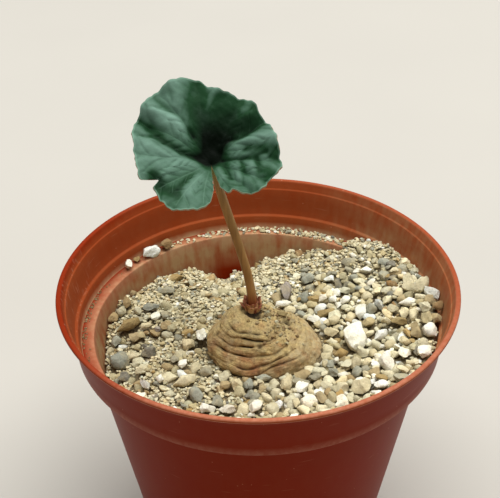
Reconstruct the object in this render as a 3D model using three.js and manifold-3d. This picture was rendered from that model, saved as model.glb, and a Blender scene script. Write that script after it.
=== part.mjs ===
// A caudex plant with one leaf in a round plastic pot full of mineral grit. Millimetres, +Z up.
// The origin is on the pot's axis, in the plane that the pot stands on. The picture's viewer is at -Y.
import * as THREE from "three";
import { mergeVertices } from "three/addons/utils/BufferGeometryUtils.js";
import Module from "manifold-3d";

const wasm = await Module();
wasm.setup();

// Driving dimensions
const GAP = 0.3;
const ROUND_SIDES = 48;

const POT = {
  height: 95,
  rimRadius: 60,
  rimWidth: 1.4,
  lipHeight: 1.2,
  lipOverhang: 1.5,
  stepDepth: 2.6,
  stepRadius: 57.6,
  ridgeDepth: 11.3,
  ridgeRadius: 55.3,
  ridgeWidth: 0.9,
  ledgeDepth: 15.8,
  ledgeOuterRadius: 53.7,
  ledgeInnerRadius: 50,
  collarFootDepth: 16.9,
  collarFootRadius: 55.15,
  creaseDepth: 14,
  creaseRadius: 55.45,
  bodyTopRadius: 51.1,
  footRadius: 36.4,
  footRingWidth: 3.6,
  footRecess: 2.2,
  floorThickness: 2,
  wall: 1.2,
};
const DRAIN = { count: 6, radius: 4, placedAt: 22 };

// Depth of the fill below the rim's top, against the wall, by azimuth in degrees
const WALL_DEPTHS = [
  [-180, 27], [-150, 27], [-120, 24], [-90, 20], [-50, 15], [-14, 11.2], [0, 9],
  [14, 9.8], [39, 10.3], [50, 12], [58, 16.5], [73, 19.8], [85, 24], [95, 29],
  [104, 33], [110, 29], [119, 24], [144, 22.5], [155, 20.5], [168, 22],
];
const FILL_MIDDLE_DEPTH = 20;
const FILL_BOWL_POWER = 2.4;
const FILL_RINGS = [9, 19, 28, 36, 42, 47, 50.5, 54, 57];

// Gravel: a jittered triangular lattice of stones, and the larger stones at their own places
const GRAVEL = {
  seed: 11,
  spacing: 8.3,
  jitter: 2.2,
  smallest: 3.3,
  largest: 4.9,
  flatness: 0.6,
  sunk: 0.16,
  elbowRoom: 0.4,
};
const LARGE_STONES = [
  [28.4, -8.8, 5.4], [-42, 11.5, 4.9], [47.2, 4, 4.4], [41, -5, 4.8], [9.4, 22.5, 4.4],
  [-22.4, -16.5, 4.6], [-34, 0.5, 4.2], [46, 15, 4.2],
];

// Caudex folds from the crown to the buried edge: centre, half-widths, and depth below the rim's top
// on the steep left and front side and on the flatter right side
const FOLDS = [
  { x: -1.8, y: 0.2, rx: 3.1, ry: 2.8, depth: 9.4, rightDepth: 9.6 },
  { x: -1.7, y: -2.2, rx: 7.8, ry: 7.2, depth: 11.3, rightDepth: 11.2 },
  { x: -1.5, y: -2.6, rx: 9.6, ry: 7.9, depth: 13.1, rightDepth: 12.2 },
  { x: -1.4, y: -3, rx: 11.2, ry: 8.5, depth: 14.8, rightDepth: 13.1 },
  { x: -1, y: -3.3, rx: 13, ry: 10.3, depth: 17, rightDepth: 14.1 },
  { x: -0.7, y: -3.6, rx: 14.6, ry: 12.9, depth: 19.2, rightDepth: 15.4 },
  { x: 1.7, y: -3.6, rx: 16.3, ry: 14.4, depth: 22, rightDepth: 21 },
];
const FOLD_BULGE = { share: 0.36, most: 0.95, rightShare: 0.5 };
const CAUDEX_FOOT = { shrink: 0.7, depth: 25.5 };
const CROWN_FLOOR_DEPTH = 9.7;
const ROOTS = { count: 5, radius: 2.1, tipRadius: 0.5, length: 26, placedAt: 7, spread: 12 };

// Leaf stalk: its course, with depths below the rim's top (negative above it)
const STALK = {
  radius: 1.35,
  footRadius: 1.5,
  tipRadius: 0.75,
  sides: 10,
  steps: 22,
  course: [
    [-1.8, 1, 13.4], [-1.8, 1, 7.3], [-2.4, 1, 0], [-4.3, 1, -8.6], [-7.3, 1, -20.4],
    [-10.6, 1, -33], [-12.75, 1, -40.5],
  ],
};
const CROWN = {
  collarRadius: 2.6,
  collarHeight: 2.2,
  sides: 16,
  scales: 10,
  scaleLength: 4.2,
  scaleWidth: 2.8,
};

// Leaf blade: where the stalk meets it, the tilt of its axis above the horizon, and its funnel
const BLADE = {
  attach: [-12.75, 1, -41.2],
  axisElevation: 58,
  funnelRise: 9,
  funnelReach: 14,
  wavePower: 1.5,
  thickness: 0.8,
  rings: 6,
  columnStep: 6,
};
// Margin of the blade: radius from the attachment by angle in degrees, from one side of the cleft round
// to the other
const MARGIN = [
  [-74, 9.5], [-69, 12], [-64, 12.8], [-60, 12.2], [-54, 14.8], [-42, 17.4], [-36, 18.4], [-30, 17.9],
  [-13, 20.4], [-4, 19.3], [19, 18.8], [42, 18.6], [54, 20.3], [66, 19.2], [80, 19.9], [92, 21.4],
  [98, 24.1], [106, 25], [129, 24.7], [146, 23.6], [161, 22.9], [172, 21.3], [190, 20.5], [202, 20.8],
  [203.5, 20], [205, 15.2], [207, 16.5], [210, 18.1], [225, 19.2], [240, 19.8], [252, 18.3],
  [264, 16.6], [270, 14.4], [275, 10],
];
// Waves of the blade between its veins: height at the margin by angle
const WAVES = [
  [-74, 0.2], [-57, 0.9], [-46, -0.6], [-38, 0.7], [-30, -0.5], [-19, 0.8], [-6, -1.3], [8, 1.3],
  [21, 0.8], [35, -1.5], [49, 1.2], [58, -0.6], [77, 0.9], [100, -1.5], [117, 1.3], [127, -1.2],
  [140, 1.4], [150, -1.5], [167, 0.9], [180, 0.2], [193, 0.9], [215, -1.4], [232, -0.8], [250, 1.2],
  [275, 0.2],
];

// Stray stones on the ledge: azimuth in degrees and half-sizes
const LEDGE_PEBBLES = [
  { azimuth: 132.5, along: 3.4, across: 1.95, high: 1.8 },
  { azimuth: 143.3, along: 1.75, across: 1.6, high: 1.6 },
  { azimuth: 125.4, along: 2.1, across: 1.85, high: 1.7 },
  { azimuth: 138.3, along: 1.2, across: 1.15, high: 0.95 },
];

const radians = THREE.MathUtils.degToRad;
const fromRim = (depth) => POT.height - depth;

function seededRandom(seed) {
  let state = seed;
  return () => {
    state = (state * 1664525 + 1013904223) % 4294967296;
    return state / 4294967296;
  };
}

// Smooth value at an angle in degrees, from [angle, value] pairs in rising order
function along(pairs, angle) {
  const next = pairs.findIndex(([at]) => at > angle);
  if (next === 0) return pairs[0][1];
  if (next < 0) return pairs.at(-1)[1];
  const [fromAngle, fromValue] = pairs[next - 1];
  const [toAngle, toValue] = pairs[next];
  const share = THREE.MathUtils.smoothstep(angle, fromAngle, toAngle);
  return THREE.MathUtils.lerp(fromValue, toValue, share);
}

function around(pairs, angle) {
  const closed = [...pairs, [pairs[0][0] + 360, pairs[0][1]]];
  return along(closed, THREE.MathUtils.euclideanModulo(angle - pairs[0][0], 360) + pairs[0][0]);
}

// Closed meshes and booleans

function solidOf(geometry) {
  const bare = new THREE.BufferGeometry();
  bare.setAttribute("position", geometry.getAttribute("position"));
  bare.setIndex(geometry.index);
  const merged = mergeVertices(bare, 1e-3);
  const solid = new wasm.Manifold(
    new wasm.Mesh({
      numProp: 3,
      vertProperties: new Float32Array(merged.attributes.position.array),
      triVerts: new Uint32Array(merged.index.array),
    }),
  );
  return solid;
}

function geometryOf(solid) {
  const mesh = solid.getMesh();
  const geometry = new THREE.BufferGeometry();
  geometry.setAttribute("position", new THREE.BufferAttribute(mesh.vertProperties, 3));
  geometry.setIndex(new THREE.BufferAttribute(mesh.triVerts, 1));
  geometry.computeVertexNormals();
  return geometry;
}

// The largest body of a solid, without loose scraps
function mainBody(solid) {
  return solid.decompose().sort((a, b) => b.volume() - a.volume())[0];
}

// Solid of revolution about Z from [radius, height] points that start and end on the axis, base first
function turned(profile, sides = ROUND_SIDES) {
  const points = profile.map(([radius, height]) => new THREE.Vector2(radius, height));
  const geometry = new THREE.LatheGeometry(points, sides);
  geometry.rotateX(Math.PI / 2);
  return geometry;
}

// Closed skin over rows of points. Each row runs counter-clockwise seen from its outside, the first and
// the last row are closed by a fan to their middle, and the rows go from the base up.
function skinned(rows, baseMiddle, topMiddle) {
  const count = rows[0].length;
  const points = [...rows.flat(), baseMiddle, topMiddle];
  const base = points.length - 2;
  const top = points.length - 1;
  const faces = [];
  for (let column = 0; column < count; column += 1) {
    const next = (column + 1) % count;
    faces.push(base, next, column);
    for (let row = 0; row < rows.length - 1; row += 1) {
      const lower = row * count;
      const upper = lower + count;
      faces.push(lower + column, lower + next, upper + next);
      faces.push(lower + column, upper + next, upper + column);
    }
    const last = (rows.length - 1) * count;
    faces.push(top, last + column, last + next);
  }
  const geometry = new THREE.BufferGeometry();
  geometry.setAttribute("position", new THREE.Float32BufferAttribute(points.flat(), 3));
  geometry.setIndex(faces);
  return geometry;
}

// Pot

function potOutside() {
  const underLip = POT.rimRadius - POT.lipOverhang;
  return [
    [0, POT.footRecess],
    [POT.footRadius - POT.footRingWidth - 1, POT.footRecess],
    [POT.footRadius - POT.footRingWidth, 0],
    [POT.footRadius - 0.5, 0],
    [POT.footRadius, 0.5],
    [POT.bodyTopRadius, fromRim(POT.collarFootDepth + 0.5)],
    [POT.collarFootRadius - 0.4, fromRim(POT.collarFootDepth + 0.2)],
    [POT.collarFootRadius, fromRim(POT.collarFootDepth)],
    [POT.creaseRadius, fromRim(POT.creaseDepth)],
    [underLip, fromRim(POT.lipHeight + 0.3)],
    [POT.rimRadius - 0.2, fromRim(POT.lipHeight)],
    [POT.rimRadius, fromRim(POT.lipHeight - 0.3)],
    [POT.rimRadius, fromRim(0.3)],
    [POT.rimRadius - 0.3, POT.height],
  ];
}

// The inner faces from the floor's middle up to the rim, shrunk by a clearance
function potInside(clearance) {
  const floor = POT.footRecess + POT.floorThickness;
  const slope = (POT.bodyTopRadius - POT.footRadius) / fromRim(POT.collarFootDepth);
  const floorRadius = POT.footRadius + slope * floor - POT.wall;
  return [
    [0, floor + clearance],
    [floorRadius - 1 - clearance, floor + clearance],
    [floorRadius - clearance, floor + 1 + clearance],
    [POT.ledgeInnerRadius - 0.2 - clearance, fromRim(POT.ledgeDepth + 0.3) + clearance],
    [POT.ledgeInnerRadius - clearance, fromRim(POT.ledgeDepth) + clearance],
    [POT.ledgeOuterRadius - clearance, fromRim(POT.ledgeDepth) + clearance],
    [POT.ridgeRadius - POT.ridgeWidth - clearance, fromRim(POT.ridgeDepth + 0.4)],
    [POT.ridgeRadius - clearance, fromRim(POT.ridgeDepth)],
    [POT.stepRadius - 0.4 - clearance, fromRim(POT.stepDepth + 0.2)],
    [POT.stepRadius - clearance, fromRim(POT.stepDepth)],
    [POT.rimRadius - POT.rimWidth - 0.3 - clearance, fromRim(0.5)],
  ];
}

function drainHole(index) {
  const hole = new THREE.CylinderGeometry(DRAIN.radius, DRAIN.radius, 3 * POT.floorThickness, 16);
  hole.rotateX(Math.PI / 2);
  const angle = (2 * Math.PI * index) / DRAIN.count;
  hole.translate(
    DRAIN.placedAt * Math.cos(angle),
    DRAIN.placedAt * Math.sin(angle),
    POT.footRecess + POT.floorThickness / 2,
  );
  return solidOf(hole);
}

function potGeometry() {
  const rimInner = [POT.rimRadius - POT.rimWidth, POT.height];
  const profile = [...potOutside(), rimInner, ...potInside(0).reverse()];
  let solid = solidOf(turned(profile));
  for (let index = 0; index < DRAIN.count; index += 1) {
    solid = solid.subtract(drainHole(index));
  }
  return geometryOf(solid);
}

// Caudex

// Middle row points of a fold, bulged out square to the line from its inner to its outer crease
function foldPoint(inner, outer, share, angle) {
  const right = THREE.MathUtils.smoothstep(Math.cos(angle), -0.2, 0.9);
  const creases = [inner, outer].map((fold) => {
    const wobble = 1 + 0.018 * Math.sin(3 * angle + fold.depth) + 0.012 * Math.sin(5 * angle - fold.depth);
    return [
      fold.x + fold.rx * wobble * Math.cos(angle),
      fold.y + fold.ry * wobble * Math.sin(angle),
      fromRim(THREE.MathUtils.lerp(fold.depth, fold.rightDepth, right)),
    ];
  });
  const [from, to] = creases.map((point) => new THREE.Vector3(...point));
  const chord = to.clone().sub(from);
  const run = Math.hypot(chord.x, chord.y);
  const outward = new THREE.Vector3(Math.cos(angle), Math.sin(angle), 0).multiplyScalar(-chord.z);
  const bulge = outward.add(new THREE.Vector3(0, 0, run)).normalize();
  const fullness = Math.min(FOLD_BULGE.most, FOLD_BULGE.share * chord.length());
  const evenness = THREE.MathUtils.lerp(1, FOLD_BULGE.rightShare, right);
  const height = fullness * evenness * Math.sin(Math.PI * share);
  return from.addScaledVector(chord, share).addScaledVector(bulge, height).toArray();
}

function caudexBody(clearance) {
  const angles = Array.from({ length: ROUND_SIDES }, (_, index) => (2 * Math.PI * index) / ROUND_SIDES);
  const grown = FOLDS.map((fold) => ({ ...fold, rx: fold.rx + clearance, ry: fold.ry + clearance }));
  const edge = grown.at(-1);
  const rows = [];
  rows.push(
    angles.map((angle) => [
      edge.x + edge.rx * CAUDEX_FOOT.shrink * Math.cos(angle),
      edge.y + edge.ry * CAUDEX_FOOT.shrink * Math.sin(angle),
      fromRim(CAUDEX_FOOT.depth) - clearance,
    ]),
  );
  for (let index = grown.length - 1; index > 0; index -= 1) {
    [1, 0.7, 0.3].forEach((share) => {
      rows.push(angles.map((angle) => foldPoint(grown[index - 1], grown[index], share, angle)));
    });
  }
  rows.push(angles.map((angle) => foldPoint(grown[0], grown[1], 0, angle)));
  const crown = grown[0];
  return solidOf(
    skinned(
      rows,
      [edge.x, edge.y, fromRim(CAUDEX_FOOT.depth) - clearance],
      [crown.x, crown.y, fromRim(CROWN_FLOOR_DEPTH)],
    ),
  );
}

function root(index, clearance) {
  const length = ROOTS.length + clearance;
  const shape = new THREE.CylinderGeometry(
    ROOTS.radius + clearance,
    ROOTS.tipRadius + clearance,
    length,
    8,
  );
  shape.translate(0, -length / 2, 0);
  shape.rotateX(Math.PI / 2);
  const angle = (2 * Math.PI * (index + 0.3)) / ROOTS.count;
  shape.rotateY(-radians(ROOTS.spread));
  shape.rotateZ(angle);
  const { x, y } = FOLDS.at(-1);
  shape.translate(
    x + ROOTS.placedAt * Math.cos(angle),
    y + ROOTS.placedAt * Math.sin(angle),
    fromRim(CAUDEX_FOOT.depth - 1.5),
  );
  return solidOf(shape);
}

// The whole grown piece, or with a clearance the hole that it stands in
function caudexSolid(clearance) {
  let solid = caudexBody(clearance);
  for (let index = 0; index < ROOTS.count; index += 1) {
    solid = solid.add(root(index, clearance));
  }
  return solid;
}

// Leaf stalk

const stalkCourse = new THREE.CatmullRomCurve3(
  STALK.course.map(([x, y, depth]) => new THREE.Vector3(x, y, fromRim(depth))),
);

function stalkRadius(share) {
  const taper = THREE.MathUtils.smoothstep(share, 0.78, 1);
  const swell = 1 - THREE.MathUtils.smoothstep(share, 0, 0.25);
  const middle = THREE.MathUtils.lerp(STALK.radius, STALK.footRadius, swell);
  return THREE.MathUtils.lerp(middle, STALK.tipRadius, taper);
}

function stalkSolid(clearance) {
  const rows = [];
  for (let step = 0; step <= STALK.steps; step += 1) {
    const share = step / STALK.steps;
    const middle = stalkCourse.getPointAt(share);
    const radius = stalkRadius(share) + clearance;
    const row = Array.from({ length: STALK.sides }, (_, side) => {
      const angle = (2 * Math.PI * side) / STALK.sides;
      return [middle.x + radius * Math.cos(angle), middle.y + radius * Math.sin(angle), middle.z];
    });
    rows.push(row);
  }
  rows[0].forEach((point) => {
    point[2] -= clearance;
  });
  const foot = stalkCourse.getPointAt(0).toArray();
  foot[2] -= clearance;
  return solidOf(skinned(rows, foot, stalkCourse.getPointAt(1).toArray()));
}

// Crown scales

function scale(index) {
  const shape = new THREE.ConeGeometry(CROWN.scaleWidth / 2, CROWN.scaleLength, 4);
  shape.rotateX(Math.PI / 2);
  shape.scale(0.5, 1, 1);
  shape.translate(0, 0, CROWN.scaleLength / 2 - 0.5);
  const angle = index * radians(137.5);
  const lean = radians(14 + 26 * ((index * 0.37) % 1));
  shape.rotateY(lean);
  shape.rotateZ(angle);
  const [x, y] = STALK.course[1];
  shape.translate(
    x + (CROWN.collarRadius - 0.5) * Math.cos(angle),
    y + (CROWN.collarRadius - 0.5) * Math.sin(angle),
    fromRim(CROWN_FLOOR_DEPTH - 1.1),
  );
  return solidOf(shape);
}

function crownGeometry() {
  const [x, y] = STALK.course[1];
  const floor = fromRim(FOLDS[0].depth) + GAP;
  const profile = [
    [0, floor],
    [CROWN.collarRadius, floor],
    [CROWN.collarRadius - 0.5, floor + CROWN.collarHeight],
    [0, floor + CROWN.collarHeight],
  ];
  const collar = turned(profile, CROWN.sides);
  collar.translate(x, y, 0);
  let solid = solidOf(collar);
  for (let index = 0; index < CROWN.scales; index += 1) {
    solid = solid.add(scale(index));
  }
  return geometryOf(mainBody(solid.subtract(stalkSolid(GAP)).subtract(caudexSolid(GAP))));
}

// Leaf blade

const bladeAxis = new THREE.Vector3(
  0,
  -Math.cos(radians(BLADE.axisElevation)),
  Math.sin(radians(BLADE.axisElevation)),
);
const bladeSide = new THREE.Vector3(1, 0, 0);
const bladeUp = bladeAxis.clone().cross(bladeSide);
const bladeAttach = new THREE.Vector3(BLADE.attach[0], BLADE.attach[1], fromRim(BLADE.attach[2]));

// A point of the blade's mid-surface, moved along the blade's axis by an offset
function bladePoint(angle, share, offset) {
  const margin = along(MARGIN, angle);
  const radius = margin * share;
  const funnel = BLADE.funnelRise * (1 - Math.exp(-radius / BLADE.funnelReach));
  const wave = along(WAVES, angle) * share ** BLADE.wavePower;
  return bladeAttach
    .clone()
    .addScaledVector(bladeSide, radius * Math.cos(radians(angle)))
    .addScaledVector(bladeUp, radius * Math.sin(radians(angle)))
    .addScaledVector(bladeAxis, funnel + wave + offset)
    .toArray();
}

// Angles of the blade's columns: even steps, and the margin's own corners
function bladeColumns() {
  const corners = MARGIN.map(([angle]) => angle);
  const clearance = BLADE.columnStep / 3;
  const clearOfCorners = (angle) => corners.every((corner) => Math.abs(corner - angle) > clearance);
  const even = [];
  for (let angle = corners[0]; angle < corners.at(-1); angle += BLADE.columnStep) {
    if (clearOfCorners(angle)) even.push(angle);
  }
  return [...corners, ...even].sort((a, b) => a - b);
}

// Both faces have the same rows of points, so their triangles are alike. The first and the last column
// are the two sides of the cleft.
function bladeGeometry() {
  const angles = bladeColumns();
  const columns = angles.length - 1;
  const points = [];
  const half = BLADE.thickness / 2;
  [half, -half].forEach((offset) => {
    angles.forEach((angle) => {
      for (let ring = 1; ring <= BLADE.rings; ring += 1) {
        points.push(bladePoint(angle, ring / BLADE.rings, offset));
      }
    });
    points.push(bladeAttach.clone().addScaledVector(bladeAxis, offset).toArray());
  });
  const faceCount = points.length / 2;
  const middle = faceCount - 1;
  const at = (column, ring) => (ring === 0 ? middle : column * BLADE.rings + ring - 1);
  const faces = [];
  const addFace = (a, b, c) => {
    faces.push(a, b, c);
    faces.push(a + faceCount, c + faceCount, b + faceCount);
  };
  const addEdge = (a, b) => {
    faces.push(a, a + faceCount, b + faceCount);
    faces.push(a, b + faceCount, b);
  };
  for (let column = 0; column < columns; column += 1) {
    addFace(middle, at(column, 1), at(column + 1, 1));
    for (let ring = 1; ring < BLADE.rings; ring += 1) {
      addFace(at(column, ring), at(column, ring + 1), at(column + 1, ring + 1));
      addFace(at(column, ring), at(column + 1, ring + 1), at(column + 1, ring));
    }
    addEdge(at(column, BLADE.rings), at(column + 1, BLADE.rings));
  }
  for (let ring = 0; ring < BLADE.rings; ring += 1) {
    addEdge(at(0, ring), at(0, ring + 1));
    addEdge(at(columns, ring + 1), at(columns, ring));
  }
  const geometry = new THREE.BufferGeometry();
  geometry.setAttribute("position", new THREE.Float32BufferAttribute(points.flat(), 3));
  geometry.setIndex(faces);
  return geometryOf(solidOf(geometry));
}

// Substrate

function fillDepth(x, y) {
  const azimuth = THREE.MathUtils.radToDeg(Math.atan2(y, x));
  const share = Math.min(1, Math.hypot(x, y) / POT.ledgeInnerRadius) ** FILL_BOWL_POWER;
  return THREE.MathUtils.lerp(FILL_MIDDLE_DEPTH, around(WALL_DEPTHS, azimuth), share);
}

// A drum whose top is the fill's surface, wider than the pot's inside
function fillDrum() {
  const ring = (radius, height) =>
    Array.from({ length: ROUND_SIDES }, (_, index) => {
      const angle = (2 * Math.PI * index) / ROUND_SIDES;
      const x = radius * Math.cos(angle);
      const y = radius * Math.sin(angle);
      return [x, y, height ?? fromRim(fillDepth(x, y))];
    });
  const widest = FILL_RINGS.at(-1);
  const rows = [ring(widest, 0), ...[...FILL_RINGS].reverse().map((radius) => ring(radius))];
  return solidOf(skinned(rows, [0, 0, 0], [0, 0, fromRim(fillDepth(0, 0))]));
}

function stone(x, y, size, random) {
  const shape = new THREE.IcosahedronGeometry(1, 0);
  shape.rotateX(2 * Math.PI * random());
  shape.rotateY(2 * Math.PI * random());
  const high = size * GRAVEL.flatness;
  shape.scale(size * (0.95 + 0.3 * random()), size * (0.8 + 0.2 * random()), high);
  shape.rotateX(radians(24 * (random() - 0.5)));
  shape.rotateZ(2 * Math.PI * random());
  shape.translate(x, y, fromRim(fillDepth(x, y)) - GRAVEL.sunk * high - high * 0.35 * random());
  return solidOf(shape);
}

function underCaudex(x, y) {
  const edge = FOLDS.at(-1);
  return Math.hypot((x - edge.x) / edge.rx, (y - edge.y) / edge.ry) < 1;
}

function gravel() {
  const random = seededRandom(GRAVEL.seed);
  const stones = LARGE_STONES.map(([x, y, size]) => stone(x, y, size, random));
  const rowStep = GRAVEL.spacing * Math.sin(Math.PI / 3);
  const rows = Math.floor(POT.ledgeOuterRadius / rowStep);
  const columns = Math.ceil(POT.ledgeOuterRadius / GRAVEL.spacing);
  for (let row = -rows; row <= rows; row += 1) {
    for (let column = -columns; column <= columns; column += 1) {
      const shift = row % 2 === 0 ? 0 : GRAVEL.spacing / 2;
      const x = column * GRAVEL.spacing + shift + GRAVEL.jitter * (random() - 0.5);
      const y = row * rowStep + GRAVEL.jitter * (random() - 0.5);
      const size = THREE.MathUtils.lerp(GRAVEL.smallest, GRAVEL.largest, random() ** 1.6);
      const free = LARGE_STONES.every(
        ([sx, sy, reach]) => Math.hypot(x - sx, y - sy) > reach + GRAVEL.elbowRoom,
      );
      const inPot = Math.hypot(x, y) < POT.ledgeOuterRadius;
      if (inPot && free && !underCaudex(x, y)) stones.push(stone(x, y, size, random));
    }
  }
  return stones;
}

function substrateGeometry() {
  const fill = potInside(GAP);
  fill.push([0, fill.at(-1)[1]]);
  let solid = fillDrum();
  gravel().forEach((pebble) => {
    solid = solid.add(pebble);
  });
  solid = solid.intersect(solidOf(turned(fill))).subtract(caudexSolid(GAP));
  return geometryOf(mainBody(solid));
}

// Stray stones on the ledge

function ledgePebbleGeometry({ along: length, across, high }) {
  const shape = new THREE.DodecahedronGeometry(1, 0);
  shape.scale(across, length, high);
  shape.computeBoundingBox();
  const { min, max } = shape.boundingBox;
  shape.scale(1, 1, (2 * high) / (max.z - min.z));
  return geometryOf(solidOf(shape));
}

function placeOnLedge(mesh, { azimuth, across, high }) {
  const radius = POT.ledgeOuterRadius - GAP - across;
  mesh.position.set(
    radius * Math.cos(radians(azimuth)),
    radius * Math.sin(radians(azimuth)),
    fromRim(POT.ledgeDepth) + high + GAP,
  );
  mesh.rotation.z = radians(azimuth);
}

// Materials and the assembly

const materials = {
  terracottaPlastic: new THREE.MeshStandardMaterial({ color: 0xb0492c, roughness: 0.45, metalness: 0 }),
  grit: new THREE.MeshStandardMaterial({ color: 0xc9bb98, roughness: 0.95, metalness: 0 }),
  tuberSkin: new THREE.MeshStandardMaterial({ color: 0xa88358, roughness: 0.85, metalness: 0 }),
  driedScale: new THREE.MeshStandardMaterial({ color: 0x7d3f28, roughness: 0.8, metalness: 0 }),
  stalkSkin: new THREE.MeshStandardMaterial({ color: 0x8f6f3e, roughness: 0.6, metalness: 0 }),
  leafSkin: new THREE.MeshStandardMaterial({ color: 0x2e5b44, roughness: 0.4, metalness: 0 }),
  paleStone: new THREE.MeshStandardMaterial({ color: 0xd9cfb8, roughness: 0.9, metalness: 0 }),
};

function piece(name, geometry, material) {
  const mesh = new THREE.Mesh(geometry, material);
  mesh.name = name;
  return mesh;
}

function caudexGeometry() {
  return geometryOf(mainBody(caudexSolid(0).subtract(stalkSolid(GAP))));
}

const plant = new THREE.Group();
plant.add(piece("caudex", caudexGeometry(), materials.tuberSkin));
plant.add(piece("crown_scales", crownGeometry(), materials.driedScale));
plant.add(piece("leaf_stalk", geometryOf(stalkSolid(0)), materials.stalkSkin));
plant.add(piece("leaf_blade", bladeGeometry(), materials.leafSkin));

const filledPot = new THREE.Group();
filledPot.add(piece("pot", potGeometry(), materials.terracottaPlastic));
filledPot.add(piece("substrate", substrateGeometry(), materials.grit));
LEDGE_PEBBLES.forEach((spot, index) => {
  const pebble = piece(`ledge_pebble_${index + 1}`, ledgePebbleGeometry(spot), materials.paleStone);
  placeOnLedge(pebble, spot);
  filledPot.add(pebble);
});

const group = new THREE.Group();
group.add(filledPot, plant);

export default group;
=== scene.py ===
"""Looks of a caudex plant with one leaf, standing in a round plastic pot of mineral grit.

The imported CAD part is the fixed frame, and every finished piece is in metres in that frame, with its
place in its mesh. Sizes in the classes are millimetres. The origin is on the pot's axis, in the plane
that the pot stands on, +Z is up, and the picture's viewer is at -Y. The pot, the fill, the caudex, its
crown scales, the stalk, the blade and the stray stones on the ledge each have a class that builds and
dresses them. Heights that start from the pot's rim are given as depths below it.
"""

import logging
import math
from collections.abc import Callable, Iterator
from contextlib import contextmanager
from dataclasses import dataclass, field
from enum import Enum

import bpy
import numpy as np
from mathutils import Matrix


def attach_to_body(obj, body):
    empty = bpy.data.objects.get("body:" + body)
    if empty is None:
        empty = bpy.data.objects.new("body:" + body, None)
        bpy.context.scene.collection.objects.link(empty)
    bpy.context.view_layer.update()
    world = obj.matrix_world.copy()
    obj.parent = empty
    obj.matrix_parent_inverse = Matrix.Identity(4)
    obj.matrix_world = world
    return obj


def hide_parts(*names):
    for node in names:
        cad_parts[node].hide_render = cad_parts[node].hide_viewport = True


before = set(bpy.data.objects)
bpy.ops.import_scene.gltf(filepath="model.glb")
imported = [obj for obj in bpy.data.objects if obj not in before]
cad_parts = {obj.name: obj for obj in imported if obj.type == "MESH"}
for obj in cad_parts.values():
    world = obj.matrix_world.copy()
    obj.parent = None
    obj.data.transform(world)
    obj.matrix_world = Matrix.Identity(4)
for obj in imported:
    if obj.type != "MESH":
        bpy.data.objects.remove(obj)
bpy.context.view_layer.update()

log = logging.getLogger("potted_caudex_plant")

Array = np.ndarray
Piece = bpy.types.Object
Pairs = tuple[tuple[float, float], ...]
Random = np.random.Generator

MM = 0.001
POT_HEIGHT = 95.0
ANY_TURN = 6.28


# Small tools


def from_rim(depth: float | Array) -> float | Array:
    """Give the height of a depth below the pot's rim, both in mm."""
    return POT_HEIGHT - depth


def linear(code: str) -> tuple[float, float, float, float]:
    """Turn an sRGB colour into linear light.

    Args:
        code: The colour as a hex string such as "#b0492c".

    Returns:
        Red, green, blue and an alpha of 1.
    """
    channels = [int(code[start : start + 2], 16) / 255 for start in (1, 3, 5)]
    lit = [c / 12.92 if c <= 0.04045 else ((c + 0.055) / 1.055) ** 2.4 for c in channels]
    return (lit[0], lit[1], lit[2], 1.0)


def per_mm(size: float) -> float:
    """Give the scale of a pattern in metres whose features measure that many mm."""
    return 1000.0 / size


def unit(value: Array) -> Array:
    """Hold numbers between 0 and 1."""
    return np.clip(value, 0.0, 1.0)


def held(value: float) -> float:
    """Hold one number between 0 and 1."""
    return min(1.0, max(0.0, value))


def smoothstep(value: Array, low: Array | float, high: Array | float) -> Array:
    """Rise smoothly from 0 at low to 1 at high."""
    share = unit((value - low) / (high - low))
    return share * share * (3.0 - 2.0 * share)


def bell(away: Array, reach: Array | float) -> Array:
    """Fall smoothly from 1 in the middle to nothing beyond a reach."""
    return np.exp(-((away / reach) ** 2))


def facing(azimuth: Array, middle: float) -> Array:
    """Give how near each angle is to a direction, both in degrees: 1 there, and -1 opposite."""
    return np.cos(np.radians(azimuth - middle))


def round_about(angle: Array) -> Array:
    """Give points on a level circle of radius 1 at each angle in radians."""
    return np.column_stack([np.cos(angle), np.sin(angle), np.zeros_like(angle)])


def between(pairs: Pairs, at: Array) -> Array:
    """Give a smooth value at each place from a list of places and values.

    Args:
        pairs: Place and value of each support, in rising order of place.
        at: The places to give a value for.

    Returns:
        One value for each place, flat at each support.
    """
    places, values = np.array(pairs, float).T
    upper = np.clip(np.searchsorted(places, at, side="right"), 1, len(places) - 1)
    share = smoothstep(at, places[upper - 1], places[upper])
    return values[upper - 1] + share * (values[upper] - values[upper - 1])


def around(pairs: Pairs, degrees: Array) -> Array:
    """Give a smooth value at each angle in degrees, from pairs that start at -180."""
    closed = (*pairs, (pairs[0][0] + 360.0, pairs[0][1]))
    return between(closed, (degrees + 180.0) % 360.0 - 180.0)


def rumple(points: Array, size: float, seed: int) -> Array:
    """Give a smooth random height at each point, from -1 to 1 or a little over.

    Args:
        points: The points in mm, one row each.
        size: Rough size of a bump in mm.
        seed: Seed of the draw.

    Returns:
        One height for each point.
    """
    random = np.random.default_rng(seed)
    total = np.zeros(len(points))
    for _ in range(18):
        direction = random.normal(size=3)
        direction /= np.linalg.norm(direction)
        pitch = 2.0 * math.pi / (size * random.uniform(0.75, 1.6))
        total += np.sin(points @ direction * pitch + random.uniform(0.0, 2.0 * math.pi))
    return total / 4.2


# Work on meshes


def deselect() -> None:
    """Leave nothing selected, as the frame leaves its nodes selected."""
    for other in bpy.context.selected_objects:
        other.select_set(False)


def pick(piece: Piece) -> None:
    """Make a piece the only selected and the active object."""
    deselect()
    piece.select_set(True)
    bpy.context.view_layer.objects.active = piece


def put(name: str, data: bpy.types.ID) -> Piece:
    """Put a mesh, a light or a camera in the scene as an object."""
    made = bpy.data.objects.new(name, data)
    bpy.context.scene.collection.objects.link(made)
    return made


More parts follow.
